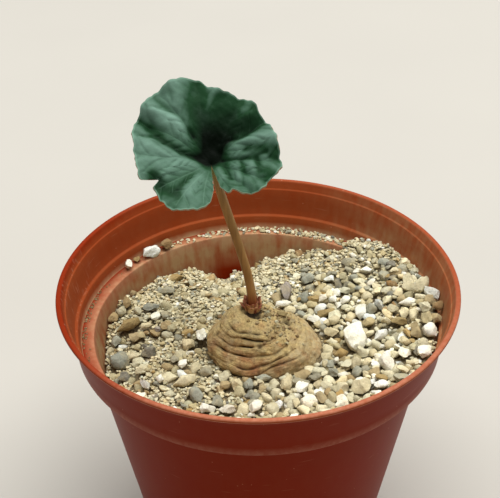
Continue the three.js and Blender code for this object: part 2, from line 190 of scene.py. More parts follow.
def read_points(piece: Piece) -> Array:
    """Give a piece's vertices in metres, one row each."""
    flat = np.empty(len(piece.data.vertices) * 3)
    piece.data.vertices.foreach_get("co", flat)
    return flat.reshape(-1, 3)


def write_points(piece: Piece, points: Array) -> None:
    """Move a piece's vertices to these points in metres."""
    piece.data.vertices.foreach_set("co", points.ravel())
    piece.data.update()


def paint(piece: Piece, name: str, values: Array) -> None:
    """Keep one number, or one colour of four numbers, for each vertex of a piece.

    Args:
        piece: The piece to paint.
        name: The attribute's name, which its material reads.
        values: One number or one row of four numbers for each vertex.
    """
    is_colour = values.ndim == 2
    layer = piece.data.attributes.new(name, "FLOAT_COLOR" if is_colour else "FLOAT", "POINT")
    layer.data.foreach_set("color" if is_colour else "value", values.astype(np.float32).ravel())


@contextmanager
def editing(select_all: bool = True) -> Iterator[None]:
    """Edit the active piece's mesh, with all of it selected or with its selection as it was."""
    bpy.ops.object.mode_set(mode="EDIT")
    if select_all:
        bpy.ops.mesh.select_all(action="SELECT")
    yield
    bpy.ops.object.mode_set(mode="OBJECT")


def close_up(piece: Piece, fill: bool = True) -> None:
    """Merge a piece's seams and poles, fill its open ends and turn its faces outwards.

    Args:
        piece: The piece to close.
        fill: Whether open ends are filled, which a sheet's edges aren't.
    """
    pick(piece)
    with editing():
        bpy.ops.mesh.remove_doubles(threshold=2e-6)
        if fill:
            bpy.ops.mesh.select_all(action="DESELECT")
            bpy.ops.mesh.select_non_manifold()
            bpy.ops.mesh.fill_holes(sides=0)
            bpy.ops.mesh.select_all(action="SELECT")
            bpy.ops.mesh.normals_make_consistent(inside=False)


def mapped_grid(
    name: str,
    columns: int,
    rows: int,
    place: Callable[[Array, Array], Array],
    marks: Callable[[Array, Array], dict[str, Array]] | None = None,
) -> Piece:
    """Add a flat grid and lay it over a surface.

    Args:
        name: The piece's name.
        columns: Faces across the grid.
        rows: Faces up the grid.
        place: Gives points in mm for shares from 0 to 1 across and up the grid.
        marks: Gives the attributes that the material reads, for the same shares.

    Returns:
        The piece, with its seams still open.
    """
    deselect()
    bpy.ops.mesh.primitive_grid_add(x_subdivisions=columns, y_subdivisions=rows, size=2)
    piece = bpy.context.object
    piece.name = name
    flat = read_points(piece)
    across, up = (flat[:, 0] + 1) / 2, (flat[:, 1] + 1) / 2
    write_points(piece, place(across, up) * MM)
    for mark, values in (marks(across, up) if marks else {}).items():
        paint(piece, mark, values)
    return piece


def apply_modifier(piece: Piece, kind: str, **settings: object) -> None:
    """Add a modifier to a piece and apply it at once."""
    pick(piece)
    modifier = piece.modifiers.new(kind.title(), kind)
    for name, value in settings.items():
        setattr(modifier, name, value)
    bpy.ops.object.modifier_apply(modifier=modifier.name)


def smooth(piece: Piece, sharper_than: float = 180.0) -> None:
    """Shade a piece smooth, but for edges that turn by more than an angle in degrees."""
    pick(piece)
    if sharper_than >= 180.0:
        bpy.ops.object.shade_smooth()
    else:
        bpy.ops.object.shade_smooth_by_angle(angle=math.radians(sharper_than))


def join(pieces: list[Piece], name: str) -> Piece:
    """Join several pieces in one object of that name."""
    pick(pieces[0])
    for other in pieces[1:]:
        other.select_set(True)
    bpy.ops.object.join()
    pieces[0].name = name
    return pieces[0]


def hand_over(piece: Piece, material: bpy.types.Material | None, slot: str, *nodes: str) -> None:
    """Dress a finished piece and fix it to the frame.

    Args:
        piece: The piece.
        material: Its material, or nothing if it is dressed already.
        slot: The name meant for its material slot, which is not used.
        nodes: The frame's nodes that it stands for.
    """
    if material:
        piece.data.materials.append(material)
    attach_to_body(piece, "root")
    if nodes:
        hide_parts(*nodes)
    faces = sum(len(polygon.vertices) - 2 for polygon in piece.data.polygons)
    log.info("%s: %d triangles", piece.name, faces)


# Finishes

Socket = bpy.types.NodeSocket
Inputs = dict[str | int, object]
EVERY_WAY = (1.0, 1.0, 1.0)


class Wiring:
    """The nodes of one material, added in the few ways that the finishes need.

    Sizes are in mm, and a colour may be a socket or a hex string.
    """

    def __init__(self, tree: bpy.types.NodeTree) -> None:
        """Start with the place on the object, in metres."""
        self.tree = tree
        self.place = self.node("TexCoord", out="Object")

    def plug(self, node: bpy.types.Node, inputs: Inputs) -> None:
        """Link a node's inputs to sockets or set them to plain values, by name or number."""
        for key, value in inputs.items():
            if isinstance(value, Socket):
                self.tree.links.new(value, node.inputs[key])
            else:
                node.inputs[key].default_value = linear(value) if isinstance(value, str) else value

    def node(self, kind: str, inputs: Inputs | None = None, out: str | int = 0, **settings: object) -> Socket:
        """Add a shader node with its settings, and set or link its inputs.

        Args:
            kind: The node's type name, without the prefix that they share.
            inputs: A socket to link from, or a plain value, by the input's name or number.
            out: Name or number of the output to give back.
            settings: The node's own properties.

        Returns:
            One output of the new node.
        """
        made = self.tree.nodes.new("ShaderNode" + kind)
        for name, value in settings.items():
            setattr(made, name, value)
        self.plug(made, inputs or {})
        return made.outputs[out]

    def mark(self, name: str) -> Socket:
        """Read a number that the piece keeps on its points."""
        return self.node("Attribute", out="Fac", attribute_name=name)

    def noise(
        self,
        size: float,
        detail: float,
        roughness: float = 0.5,
        scale: tuple[float, float, float] = EVERY_WAY,
        turn: tuple[float, float, float] = (0.0, 0.0, 0.0),
    ) -> Socket:
        """Add cloudy noise.

        Args:
            size: Size of its features.
            detail: How many finer layers it has.
            roughness: How strong the finer layers are.
            scale: Its scale along each axis, less than 1 where it is drawn out.
            turn: Its turn about each axis in radians.

        Returns:
            The noise, about 0.5 on average.
        """
        place = self.place
        if scale != EVERY_WAY:
            place = self.node("Mapping", {"Vector": place, "Scale": scale, "Rotation": turn})
        inputs = {"Vector": place, "Scale": per_mm(size), "Detail": detail, "Roughness": roughness}
        return self.node("TexNoise", inputs)

    def cells(self, size: float) -> Socket:
        """Give how far each place is from the middle of its cell."""
        return self.node("TexVoronoi", {"Vector": self.place, "Scale": per_mm(size)})

    def spread(
        self, value: Socket, low: float, high: float, at_low: float = 0.0, at_high: float = 1.0
    ) -> Socket:
        """Spread a value's range from low to high over another range."""
        inputs = {0: value, "From Min": low, "From Max": high, "To Min": at_low, "To Max": at_high}
        return self.node("MapRange", inputs)

    def math(self, operation: str, *values: Socket | float, clamp: bool = False) -> Socket:
        """Work out one number from others, held between 0 and 1 if it is clamped."""
        return self.node("Math", dict(enumerate(values)), operation=operation, use_clamp=clamp)

    def mix(
        self, share: Socket | float, first: Socket | str, second: Socket | str, blend: str = "MIX"
    ) -> Socket:
        """Mix a second colour into the first."""
        return self.node("Mix", {0: share, 6: first, 7: second}, 2, data_type="RGBA", blend_type=blend)

    def bump(self, height: Socket, strength: float, depth: float) -> Socket:
        """Rough the surface up by a height, at most that deep."""
        return self.node("Bump", {"Height": height, "Strength": strength, "Distance": depth * MM})


@dataclass(frozen=True)
class Finish:
    """A surface finish, made as one node material."""

    name: str

    def make(self) -> bpy.types.Material:
        """Make the material and wire its shader."""
        material = bpy.data.materials.new(self.name)
        material.use_nodes = True
        wiring = Wiring(material.node_tree)
        wiring.plug(material.node_tree.nodes["Principled BSDF"], self.wire(wiring))
        return material

    def wire(self, add: Wiring) -> Inputs:
        """Add one finish's nodes, which each kind of finish does for itself.

        Args:
            add: Adds nodes to the material.

        Returns:
            What the shader's inputs are linked or set to.
        """
        raise NotImplementedError


@dataclass(frozen=True)
class MouldedPolypropylene(Finish):
    """Thin injection-moulded polypropylene with a brick-red pigment.

    It is satin and very even, a little paler where scuffs mark it, and a film of stone dust has dried
    on the inside of the wall, with streaks where water ran down. Light and shade are painted in too:
    the inside and the rim top take a lighter copy of the pigment than the shaded outside, and painted
    highlights run along the lip, the front of the rim and the collar's foot.
    """

    # Painted light and shade: the shaded and the lit copies of one pigment
    shaded: str = "#7a1c00"
    painted_lit_tone: str = "#934420"
    scuff_and_highlight_tone: str = "#d6a184"
    dust: str = "#a4855f"
    sheen: str = "#ffa080"

    def wire(self, add: Wiring) -> Inputs:
        """Wire the lit and shaded pigment, the dust film, scuffs, painted highlights and the moulding's faint
        unevenness.
        """
        # Painted light and shade: a lighter copy of the pigment where it is lit, a darker one where it is
        # shaded
        body = add.mix(add.mark("painted_light"), self.shaded, self.painted_lit_tone)
        # Dust lies in patches of 5 mm and in upright streaks 2 mm wide
        uneven = add.math("ADD", add.noise(5, 6.0), add.noise(2, 3.0, scale=(1.0, 1.0, 0.2)))
        film = add.spread(uneven, 0.7, 1.3, 0.25, 1.35)
        cover = add.math("MULTIPLY", add.mark("dust"), film, clamp=True)
        dusty = add.mix(cover, body, self.dust)
        # Scuffs 0.5 mm wide round the wall, scratches 0.4 mm wide down its inside, and stray specks
        sideways = add.noise(0.9, 2.0, scale=(0.10, 0.10, 1.0), turn=(0.2, 0.1, 0.0))
        scuffs = add.spread(sideways, 0.69, 0.78, 0.0, 0.13)
        scratches = add.spread(add.noise(0.9, 2.0, scale=(1.0, 1.0, 0.015)), 0.6, 0.76, 0.0, 0.35)
        inner = add.math("MULTIPLY", scratches, add.mark("scratched"))
        specks = add.spread(add.cells(3.5), 0.035, 0.06, 0.4, 0.0)
        marked = add.math("MAXIMUM", add.math("MAXIMUM", scuffs, inner), specks)
        # Rubbed spots and painted highlights, broken up in patches of 1.3 mm
        worn = add.math("MULTIPLY", add.mark("wear_and_highlight"), add.noise(1.3, 4.0))
        pale = add.math("MAXIMUM", marked, worn, clamp=True)
        return {
            "Base Color": add.mix(pale, dusty, self.scuff_and_highlight_tone),
            "Roughness": add.spread(cover, 0.0, 1.0, 0.42, 0.95),
            # The mould's own finish is finer than a pixel, so it is drawn at 0.8 mm
            "Normal": add.bump(add.noise(0.8, 2.0), 0.12, 0.1),
            "IOR": 1.49,
            "Specular IOR Level": 0.06,
            "Specular Tint": self.sheen,
        }


@dataclass(frozen=True)
class BrokenStone(Finish):
    """Pumice and limestone chips, broken and tumbled.

    Each chip has one dull earth colour of its own, freckled with darker and paler mineral grains, and
    a dry and rough skin without gloss.
    """

    freckle: float = 0.7
    grain: float = 0.5
    relief: float = 0.7
    mineral: str = "#6d604a"
    clay: str = "#b5a57a"

    def wire(self, add: Wiring) -> Inputs:
        """Wire the chip's own colour, its freckles and its rough skin."""
        own = add.node("Attribute", out="Color", attribute_name="stone_colour")
        shade = add.spread(add.noise(1.6 * self.grain, 5.0, 0.65), 0.3, 0.7, 0.66, 1.2)
        toned = add.mix(self.freckle, own, shade, "MULTIPLY")
        # Specks of dark mineral 0.2 mm across, and a stain of clay over patches of 3 mm
        speckled = add.mix(add.spread(add.cells(0.9), 0.12, 0.2, 0.4, 0.0), toned, self.mineral)
        stain = add.spread(add.noise(3.2, 3.0), 0.5, 0.7, 0.0, 0.45)
        return {
            "Base Color": add.mix(stain, speckled, self.clay),
            "Normal": add.bump(add.noise(1.2, 6.0, 0.75), 0.8, self.relief),
            "Roughness": 0.92,
            "IOR": 1.5,
            "Specular IOR Level": 0.25,
        }


@dataclass(frozen=True)
class StoneDust(Finish):
    """Damp fines between the chips: crushed pumice and clay, dark in the gaps and without gloss."""

    pale: str = "#8f7f5c"
    dark: str = "#3d3322"

    def wire(self, add: Wiring) -> Inputs:
        """Wire grains of 0.4 mm and the relief that they give."""
        grains = add.noise(0.8, 6.0, 0.7)
        return {
            "Base Color": add.mix(add.spread(grains, 0.35, 0.65), self.dark, self.pale),
            "Normal": add.bump(grains, 0.8, 0.3),
            "Roughness": 0.95,
        }


@dataclass(frozen=True)
class TuberSkin(Finish):
    """Corky skin of a grown caudex.

    It is buff to reddish brown, thin wrinkles follow its folds, painted shade turns its creases and pits
    nearly black, and stone dust has settled on its flatter side.
    """

    buff: str = "#c0a870"
    russet: str = "#97633b"
    # Painted shade, nearly black, for the creases and the pits
    crease: str = "#1e1007"
    dust: str = "#b5a37b"

    def wire(self, add: Wiring) -> Inputs:
        """Wire the skin's colour, its wrinkles along the folds, the painted shade in its pits and creases,
        and its dust.
        """
        uneven = add.math("MULTIPLY_ADD", add.noise(6, 5.0, 0.6), 0.9, -0.45)
        red = add.math("ADD", add.mark("redness"), uneven, clamp=True)
        skin = add.mix(red, self.buff, self.russet)
        # Wrinkles along the folds: 0.5 mm apart and some 3 mm long, on a map whose unit is 10 mm
        along = add.node("UVMap", uv_map="skin")
        thin = add.node("Mapping", {"Vector": along, "Scale": (3.2, 21.0, 1.0)})
        wrinkles = add.node("TexNoise", {"Vector": thin, "Scale": 1.0, "Detail": 4.0, "Roughness": 0.6})
        lined = add.mix(0.9, skin, add.spread(wrinkles, 0.3, 0.7, 0.87, 1.08), "MULTIPLY")
        # Cork breaks up in scurf of 0.5 mm, with dark dots between
        scurf = add.spread(add.noise(0.9, 5.0, 0.7), 0.34, 0.62, 0.56, 1.14)
        corky = add.mix(0.8, lined, scurf, "MULTIPLY")
        grains = add.noise(1.4, 6.0, 0.7)
        patchy = add.spread(grains, 0.38, 0.6, 0.25, 1.1)
        cover = add.math("MULTIPLY", add.mark("dust"), patchy, clamp=True)
        dusty = add.mix(cover, corky, self.dust)
        height = add.math("MULTIPLY_ADD", grains, 1.5, wrinkles)
        return {
            # Painted shade darkens the creases and the pits
            "Base Color": add.mix(add.mark("crease"), dusty, self.crease),
            "Normal": add.bump(height, 0.9, 0.5),
            "Roughness": 0.8,
            "Specular IOR Level": 0.25,
        }


@dataclass(frozen=True)
class DriedScale(Finish):
    """Papery bases of fallen leaf stalks: dry, red-brown, darker towards each scale's edges and tip, with
    faint fibres.
    """

    pale: str = "#d8ae75"
    dark: str = "#8a4b30"

    def wire(self, add: Wiring) -> Inputs:
        """Wire fibres of 0.3 mm, drawn at 0.6 mm so that they show."""
        fibres = add.noise(1.2, 5.0, scale=(1.0, 1.0, 0.3))
        drier = add.math("MULTIPLY_ADD", add.mark("edge"), -0.3, fibres)
        return {
            "Base Color": add.mix(add.spread(drier, 0.26, 0.5), self.dark, self.pale),
            "Normal": add.bump(fibres, 0.6, 0.2),
            "Roughness": 0.7,
        }


@dataclass(frozen=True)
class StalkSkin(Finish):
    """Smooth skin of a living leaf stalk: olive brown, russet at the foot and green at the blade."""

    olive: str = "#a47c46"
    russet: str = "#8f4a28"
    green: str = "#7f8a46"

    def wire(self, add: Wiring) -> Inputs:
        """Wire the colour up the stalk and the long faint ribs."""
        low = add.mix(add.mark("foot"), self.olive, self.russet)
        whole = add.mix(add.mark("tip"), low, self.green)
        ribs = add.noise(0.7, 3.0, scale=(1.0, 1.0, 0.08))
        return {
            "Base Color": add.mix(1.0, whole, add.spread(ribs, 0.3, 0.7, 0.75, 1.15), "MULTIPLY"),
            "Normal": add.bump(ribs, 0.4, 0.2),
            "Roughness": 0.5,
            "IOR": 1.42,
            "Specular IOR Level": 0.35,
        }


@dataclass(frozen=True)
class LeafSkin(Finish):
    """Waxy skin of a living leaf.

    The upper face is a deep blue-green, with a silvery sheen painted on its bulges as highlight, painted
    shade along its valleys, a nearly black painted shade over the funnel in the middle, and thin, paler
    veins. The lower face is a dull grey-green.
    """

    # Painted light and shade: the crest colour is the lit tone, the valley colour the shaded tone, and the
    # middle colour the painted shade over the funnel
    crest: str = "#698777"
    valley: str = "#1e3f25"
    middle: str = "#030903"
    vein: str = "#86a893"

    def wire(self, add: Wiring) -> Inputs:
        """Wire the painted highlight and shade, the painted shade over the funnel, the veins and the skin's
        small cells.
        """
        patch = add.math("MULTIPLY_ADD", add.noise(4, 6.0, 0.65), 0.6, -0.3)
        # Painted highlight and shade, made uneven over patches of 4 mm
        bloom = add.math("ADD", add.mark("bloom"), patch, clamp=True)
        shaded = add.mix(add.mark("core"), add.mix(bloom, self.valley, self.crest), self.middle)
        return {
            "Base Color": add.mix(add.mark("vein"), shaded, self.vein),
            # The skin's cells are far finer than a pixel, so they are drawn at 0.6 mm
            "Normal": add.bump(add.cells(0.6), 0.25, 0.1),
            "Roughness": 0.6,
            "IOR": 1.45,
            "Specular IOR Level": 0.05,
        }


@dataclass(frozen=True)
class LeafEdge(Finish):
    """The blade's thickened margin: dry and tan, a little uneven in colour."""

    pale: str = "#a89a7c"
    dark: str = "#6c5a3c"

    def wire(self, add: Wiring) -> Inputs:
        """Wire patches of 3 mm along the margin."""
        return {"Base Color": add.mix(add.noise(3, 3.0), self.dark, self.pale), "Roughness": 0.6}


@dataclass(frozen=True)
class StudioPaper(Finish):
    """Matt pale paper under the object, so plain that only its faint tooth shows."""

    tone: str = "#b3afa6"

    def wire(self, add: Wiring) -> Inputs:
        """Wire a tone that hardly varies."""
        tooth = add.spread(add.noise(90, 2.0), 0.0, 1.0, 0.97, 1.03)
        return {"Base Color": add.mix(1.0, self.tone, tooth, "MULTIPLY"), "Roughness": 0.9}


# Pot


@dataclass
class Pot:
    """A round tapered pot with a stepped collar, a thin rolled lip and a planting ledge inside."""

    rim_radius: float = 60.0
    rim_width: float = 1.4
    lip_height: float = 1.2
    lip_overhang: float = 1.5
    step_depth: float = 2.6
    step_radius: float = 57.6
    ridge_depth: float = 11.3
    ridge_radius: float = 55.3
    ridge_width: float = 0.9
    ledge_depth: float = 15.8
    ledge_outer_radius: float = 53.7
    ledge_inner_radius: float = 50.0
    collar_foot_depth: float = 16.9
    collar_foot_radius: float = 55.15
    crease_depth: float = 14.0
    crease_radius: float = 55.45
    body_top_radius: float = 51.1
    foot_radius: float = 36.4
    foot_ring_width: float = 3.6
    foot_recess: float = 2.2
    floor_thickness: float = 2.0
    wall: float = 1.2
    drain_holes: int = 6
    drain_radius: float = 4.0
    drain_circle: float = 22.0
    sides: int = 180
    longest_stretch: float = 4.0
    bevel: float = 0.28
    bevel_angle: float = 22.0
    clean_azimuth: float = 101.0
    ledge_dust: Pairs = (
        (-180, 0.35), (-150, 0.2), (-75, 0.2), (-58, 1.0), (-5, 1.0), (40, 0.3), (60, 1.0), (120, 1.1),
        (160, 0.5),
    )

    def outside(self) -> list[tuple[float, float]]:
        """Give radius and height of the outer wall's corners, from the base's middle to the rim."""
        under_lip = self.rim_radius - self.lip_overhang
        ring = self.foot_radius - self.foot_ring_width
        return [
            (2.0, self.foot_recess),
            (ring - 1.0, self.foot_recess),
            (ring, 0.0),
            (self.foot_radius - 0.5, 0.0),
            (self.foot_radius, 0.5),
            (self.body_top_radius, from_rim(self.collar_foot_depth + 0.5)),
            (self.collar_foot_radius - 0.4, from_rim(self.collar_foot_depth + 0.2)),
            (self.collar_foot_radius, from_rim(self.collar_foot_depth)),
            (self.crease_radius, from_rim(self.crease_depth)),
            (under_lip, from_rim(self.lip_height + 0.3)),
            (self.rim_radius - 0.2, from_rim(self.lip_height)),
            (self.rim_radius, from_rim(self.lip_height - 0.3)),
            (self.rim_radius, from_rim(0.3)),
            (self.rim_radius - 0.3, POT_HEIGHT),
        ]

    def inside(self) -> list[tuple[float, float]]:
        """Give radius and height of the inner wall's corners, from the rim to the floor's middle."""
        floor = self.foot_recess + self.floor_thickness
        taper = (self.body_top_radius - self.foot_radius) / from_rim(self.collar_foot_depth)
        floor_radius = self.foot_radius + taper * floor - self.wall
        return [
            (self.rim_radius - self.rim_width, POT_HEIGHT),
            (self.rim_radius - self.rim_width - 0.3, from_rim(0.5)),
            (self.step_radius, from_rim(self.step_depth)),
            (self.step_radius - 0.4, from_rim(self.step_depth + 0.2)),
            (self.ridge_radius, from_rim(self.ridge_depth)),
            (self.ridge_radius - self.ridge_width, from_rim(self.ridge_depth + 0.4)),
            (self.ledge_outer_radius, from_rim(self.ledge_depth)),
            (self.ledge_inner_radius, from_rim(self.ledge_depth)),
            (self.ledge_inner_radius - 0.2, from_rim(self.ledge_depth + 0.3)),
            (floor_radius, floor + 1.0),
            (floor_radius - 1.0, floor),
            (2.0, floor),
        ]

    def profile(self) -> list[tuple[float, float]]:
        """Give the whole wall's profile, with points added so that no stretch is too long."""
        corners = [*self.outside(), *self.inside()]
        points = [corners[0]]
        for (r0, z0), (r1, z1) in zip(corners, corners[1:]):
            steps = max(1, math.ceil(abs(z1 - z0) / self.longest_stretch))
            for step in range(1, steps + 1):
                share = step / steps
                points.append((r0 + share * (r1 - r0), z0 + share * (z1 - z0)))
        return points

    def inner_radius(self, height: Array) -> Array:
        """Give the inner wall's radius in mm at each height in mm."""
        corners = sorted((z, r) for r, z in self.inside()[1:-2])
        heights, radii = np.array(corners).T
        return np.interp(height, heights, radii)

    def turn_wall(self) -> Piece:
        """Draw a ring and extrude it along the wall's profile."""
        profile = self.profile()
        first_radius, first_height = profile[0]
        deselect()
        start = (0.0, 0.0, first_height * MM)
        bpy.ops.mesh.primitive_circle_add(vertices=self.sides, radius=first_radius * MM, location=start)
        bpy.ops.object.transform_apply(location=True, rotation=True, scale=True)
        wall = bpy.context.object
        with editing():
            for (r0, z0), (r1, z1) in zip(profile, profile[1:]):
                bpy.ops.mesh.extrude_region_move(TRANSFORM_OT_translate={"value": (0.0, 0.0, (z1 - z0) * MM)})
                if abs(r1 - r0) > 1e-6:
                    bpy.ops.transform.resize(value=(r1 / r0, r1 / r0, 1.0), center_override=(0.0, 0.0, 0.0))
        close_up(wall)
        limit = {"limit_method": "ANGLE", "angle_limit": math.radians(self.bevel_angle)}
        apply_modifier(wall, "BEVEL", width=self.bevel * MM, segments=2, **limit)
        return wall

    def drill(self, wall: Piece) -> None:
        """Cut the drain holes through the floor."""
        cutters = []
        for index in range(self.drain_holes):
            angle = 2.0 * math.pi * index / self.drain_holes
            deselect()
            bpy.ops.mesh.primitive_cylinder_add(
                vertices=40,
                radius=self.drain_radius * MM,
                depth=3.0 * self.floor_thickness * MM,
                location=(
                    self.drain_circle * math.cos(angle) * MM,
                    self.drain_circle * math.sin(angle) * MM,
                    (self.foot_recess + self.floor_thickness / 2.0) * MM,
                ),
            )
            cutters.append(bpy.context.object)
        cutter = join(cutters, "drain_cutter")
        apply_modifier(wall, "BOOLEAN", object=cutter, operation="DIFFERENCE", solver="EXACT")
        bpy.data.objects.remove(cutter)

    def dust(self, points: Array, bare: Array, fill: "Fill") -> Array:
        """Give how thick the dust lies on the wall's inside.

        Args:
            points: The points in mm, one row each.
            bare: How far each point is in the patch that stayed clean.
            fill: The fill, whose dust clings to the wall above it.

        Returns:
            A share for each point, which may be over 1.
        """
        x, y, z = points.T
        azimuth = np.degrees(np.arctan2(y, x))
        ledge = from_rim(self.ledge_depth)
        film = 0.05 + 0.30 * smoothstep(facing(azimuth, 12.0), 0.45, 0.95) * (z > 70.0)
        below = 0.95 - 0.95 * bare - 0.17 * smoothstep(azimuth, 112.0, 135.0)
        film = np.where(z < ledge - 0.1, below, film)
        left_edge = 0.4 * smoothstep(np.hypot(x, y), 51.8, 52.8)
        left_edge = left_edge * smoothstep(facing(azimuth, 178.0), 0.88, 0.97)
        film = np.where(np.abs(z - ledge) < 0.5, between(self.ledge_dust, azimuth) + left_edge, film)
        above_fill = z - fill.surface(x, y)
        near_fill = 0.55 * (1.0 - smoothstep(above_fill, 0.5, 7.0)) * (above_fill > -3.0) * (1.0 - bare)
        return np.maximum(film, near_fill)

    def soil(self, wall: Piece, fill: "Fill") -> None:
        """Keep on each point how dusty, rubbed and scratched the plastic is, and its painted light, shade and
        highlights.
        """
        points = read_points(wall) / MM
        x, y, z = points.T
        radius = np.hypot(x, y)
        azimuth = np.degrees(np.arctan2(y, x))
        ledge = from_rim(self.ledge_depth)
        in_the_pot = z > self.foot_recess + 0.5 * self.floor_thickness
        is_inside = (radius < self.inner_radius(z) + 0.3) & in_the_pot
        left = smoothstep(-x / np.maximum(radius, 1.0), 0.2, 1.0)
        front = smoothstep(-y / np.maximum(radius, 1.0), -0.2, 0.8)
        # The wall stayed clean above the hollow at the back
        bare = np.exp(-(((azimuth - self.clean_azimuth) / 9.5) ** 4)) * (1.0 - smoothstep(z, 67.0, 77.0))
        dust = np.where(is_inside & (z > 5.0), self.dust(points, bare, fill), 0.02)
        paint(wall, "dust", unit(dust))
        # Painted light and shade: the inside takes the lighter copy of the pigment, less of it on the left,
        # high at the back and in the clean patch below the ledge; the rim top is lighter on the right than on
        # the left, and the outside keeps the shaded copy
        inner = 1.0 - 0.2 * left - 0.9 * bare * (z < ledge - 0.1)
        inner = inner - 0.25 * ((z > from_rim(self.ridge_depth)) & (y > 0.0)) * smoothstep(y, 0.0, 40.0)
        rim_top = z > from_rim(1.1)
        paint(wall, "painted_light", np.where(rim_top, 0.7 - 0.6 * left, np.where(is_inside, inner, 0.0)))
        # Rubbed spots and painted highlights: a pale line along the lip and on the rim's top, strongest at
        # the front and the right, a fainter one along the collar's foot at the front, and the ledge's edge
        # inside
        lip = (np.abs(z - from_rim(self.lip_height)) < 0.45) & (radius > self.rim_radius - 1.0)
        top = (z > from_rim(0.35)) & (radius > self.rim_radius - 2.0)
        foot_edge = (np.abs(z - from_rim(self.collar_foot_depth)) < 0.6) & ~is_inside
        wear_and_highlight = 0.9 * lip * front + (0.1 + 0.4 * front) * top * (1.0 - left) + 0.35 * foot_edge * front
        paint(wall, "wear_and_highlight", wear_and_highlight + 0.4 * (np.abs(z - ledge) < 0.5) * is_inside)
        paint(wall, "scratched", is_inside * smoothstep(facing(azimuth, 192.0), 0.80, 0.97))

    def build(self, fill: "Fill") -> None:
        """Model and dress the pot, whose wall above the fill is dusty."""
        wall = self.turn_wall()
        self.drill(wall)
        wall.name = "pot_wall"
        self.soil(wall, fill)
        smooth(wall, 28.0)
        plastic = MouldedPolypropylene("moulded_polypropylene_brick_red").make()
        hand_over(wall, plastic, "pot_plastic", "pot")


# Fill


class Tone(Enum):
    """Colours of the chips, as their dry skin shows them."""

    WHITE = "#efecda"
    PALE = "#dbd1ad"
    CREAM = "#cfc5a1"
    BEIGE = "#b5a982"
    TAN = "#a8946c"
    OCHRE = "#a48a58"
    BROWN = "#8a6f4a"
    GREY = "#9a9680"
    DARK_GREY = "#807b6b"
    BLUE_GREY = "#9f9e8a"
    VIOLET = "#a0968a"


WHITE, PALE, CREAM, BEIGE, TAN, OCHRE, BROWN, GREY, DARK_GREY, BLUE_GREY, VIOLET = Tone

Mixture = dict[Tone, float]
LEFT_MIX: Mixture = {
    WHITE: 0.08, CREAM: 0.25, BEIGE: 0.30, TAN: 0.12, OCHRE: 0.06, BROWN: 0.02, GREY: 0.12,
    DARK_GREY: 0.03, BLUE_GREY: 0.04,
}
RIGHT_MIX: Mixture = {
    WHITE: 0.24, PALE: 0.26, CREAM: 0.25, BEIGE: 0.10, TAN: 0.04, OCHRE: 0.04, BROWN: 0.01, GREY: 0.03,
    DARK_GREY: 0.01, BLUE_GREY: 0.015, VIOLET: 0.005,
}
BACK_MIX: Mixture = {
    BEIGE: 0.25, GREY: 0.35, DARK_GREY: 0.20, BLUE_GREY: 0.10, TAN: 0.10,
}
FINE_MIX: Mixture = {
    WHITE: 0.02, PALE: 0.30, CREAM: 0.34, BEIGE: 0.20, TAN: 0.05, GREY: 0.06, DARK_GREY: 0.03,
}


@dataclass(frozen=True)
class Stone:
    """One larger chip that stands out, at a listed place.

    The width runs across the picture and the height is as the picture shows it, both in mm. The turn
    is in degrees about the vertical.
    """

    x: float
    y: float
    wide: float
    high: float
    tone: Tone
    turn: float = 0.0


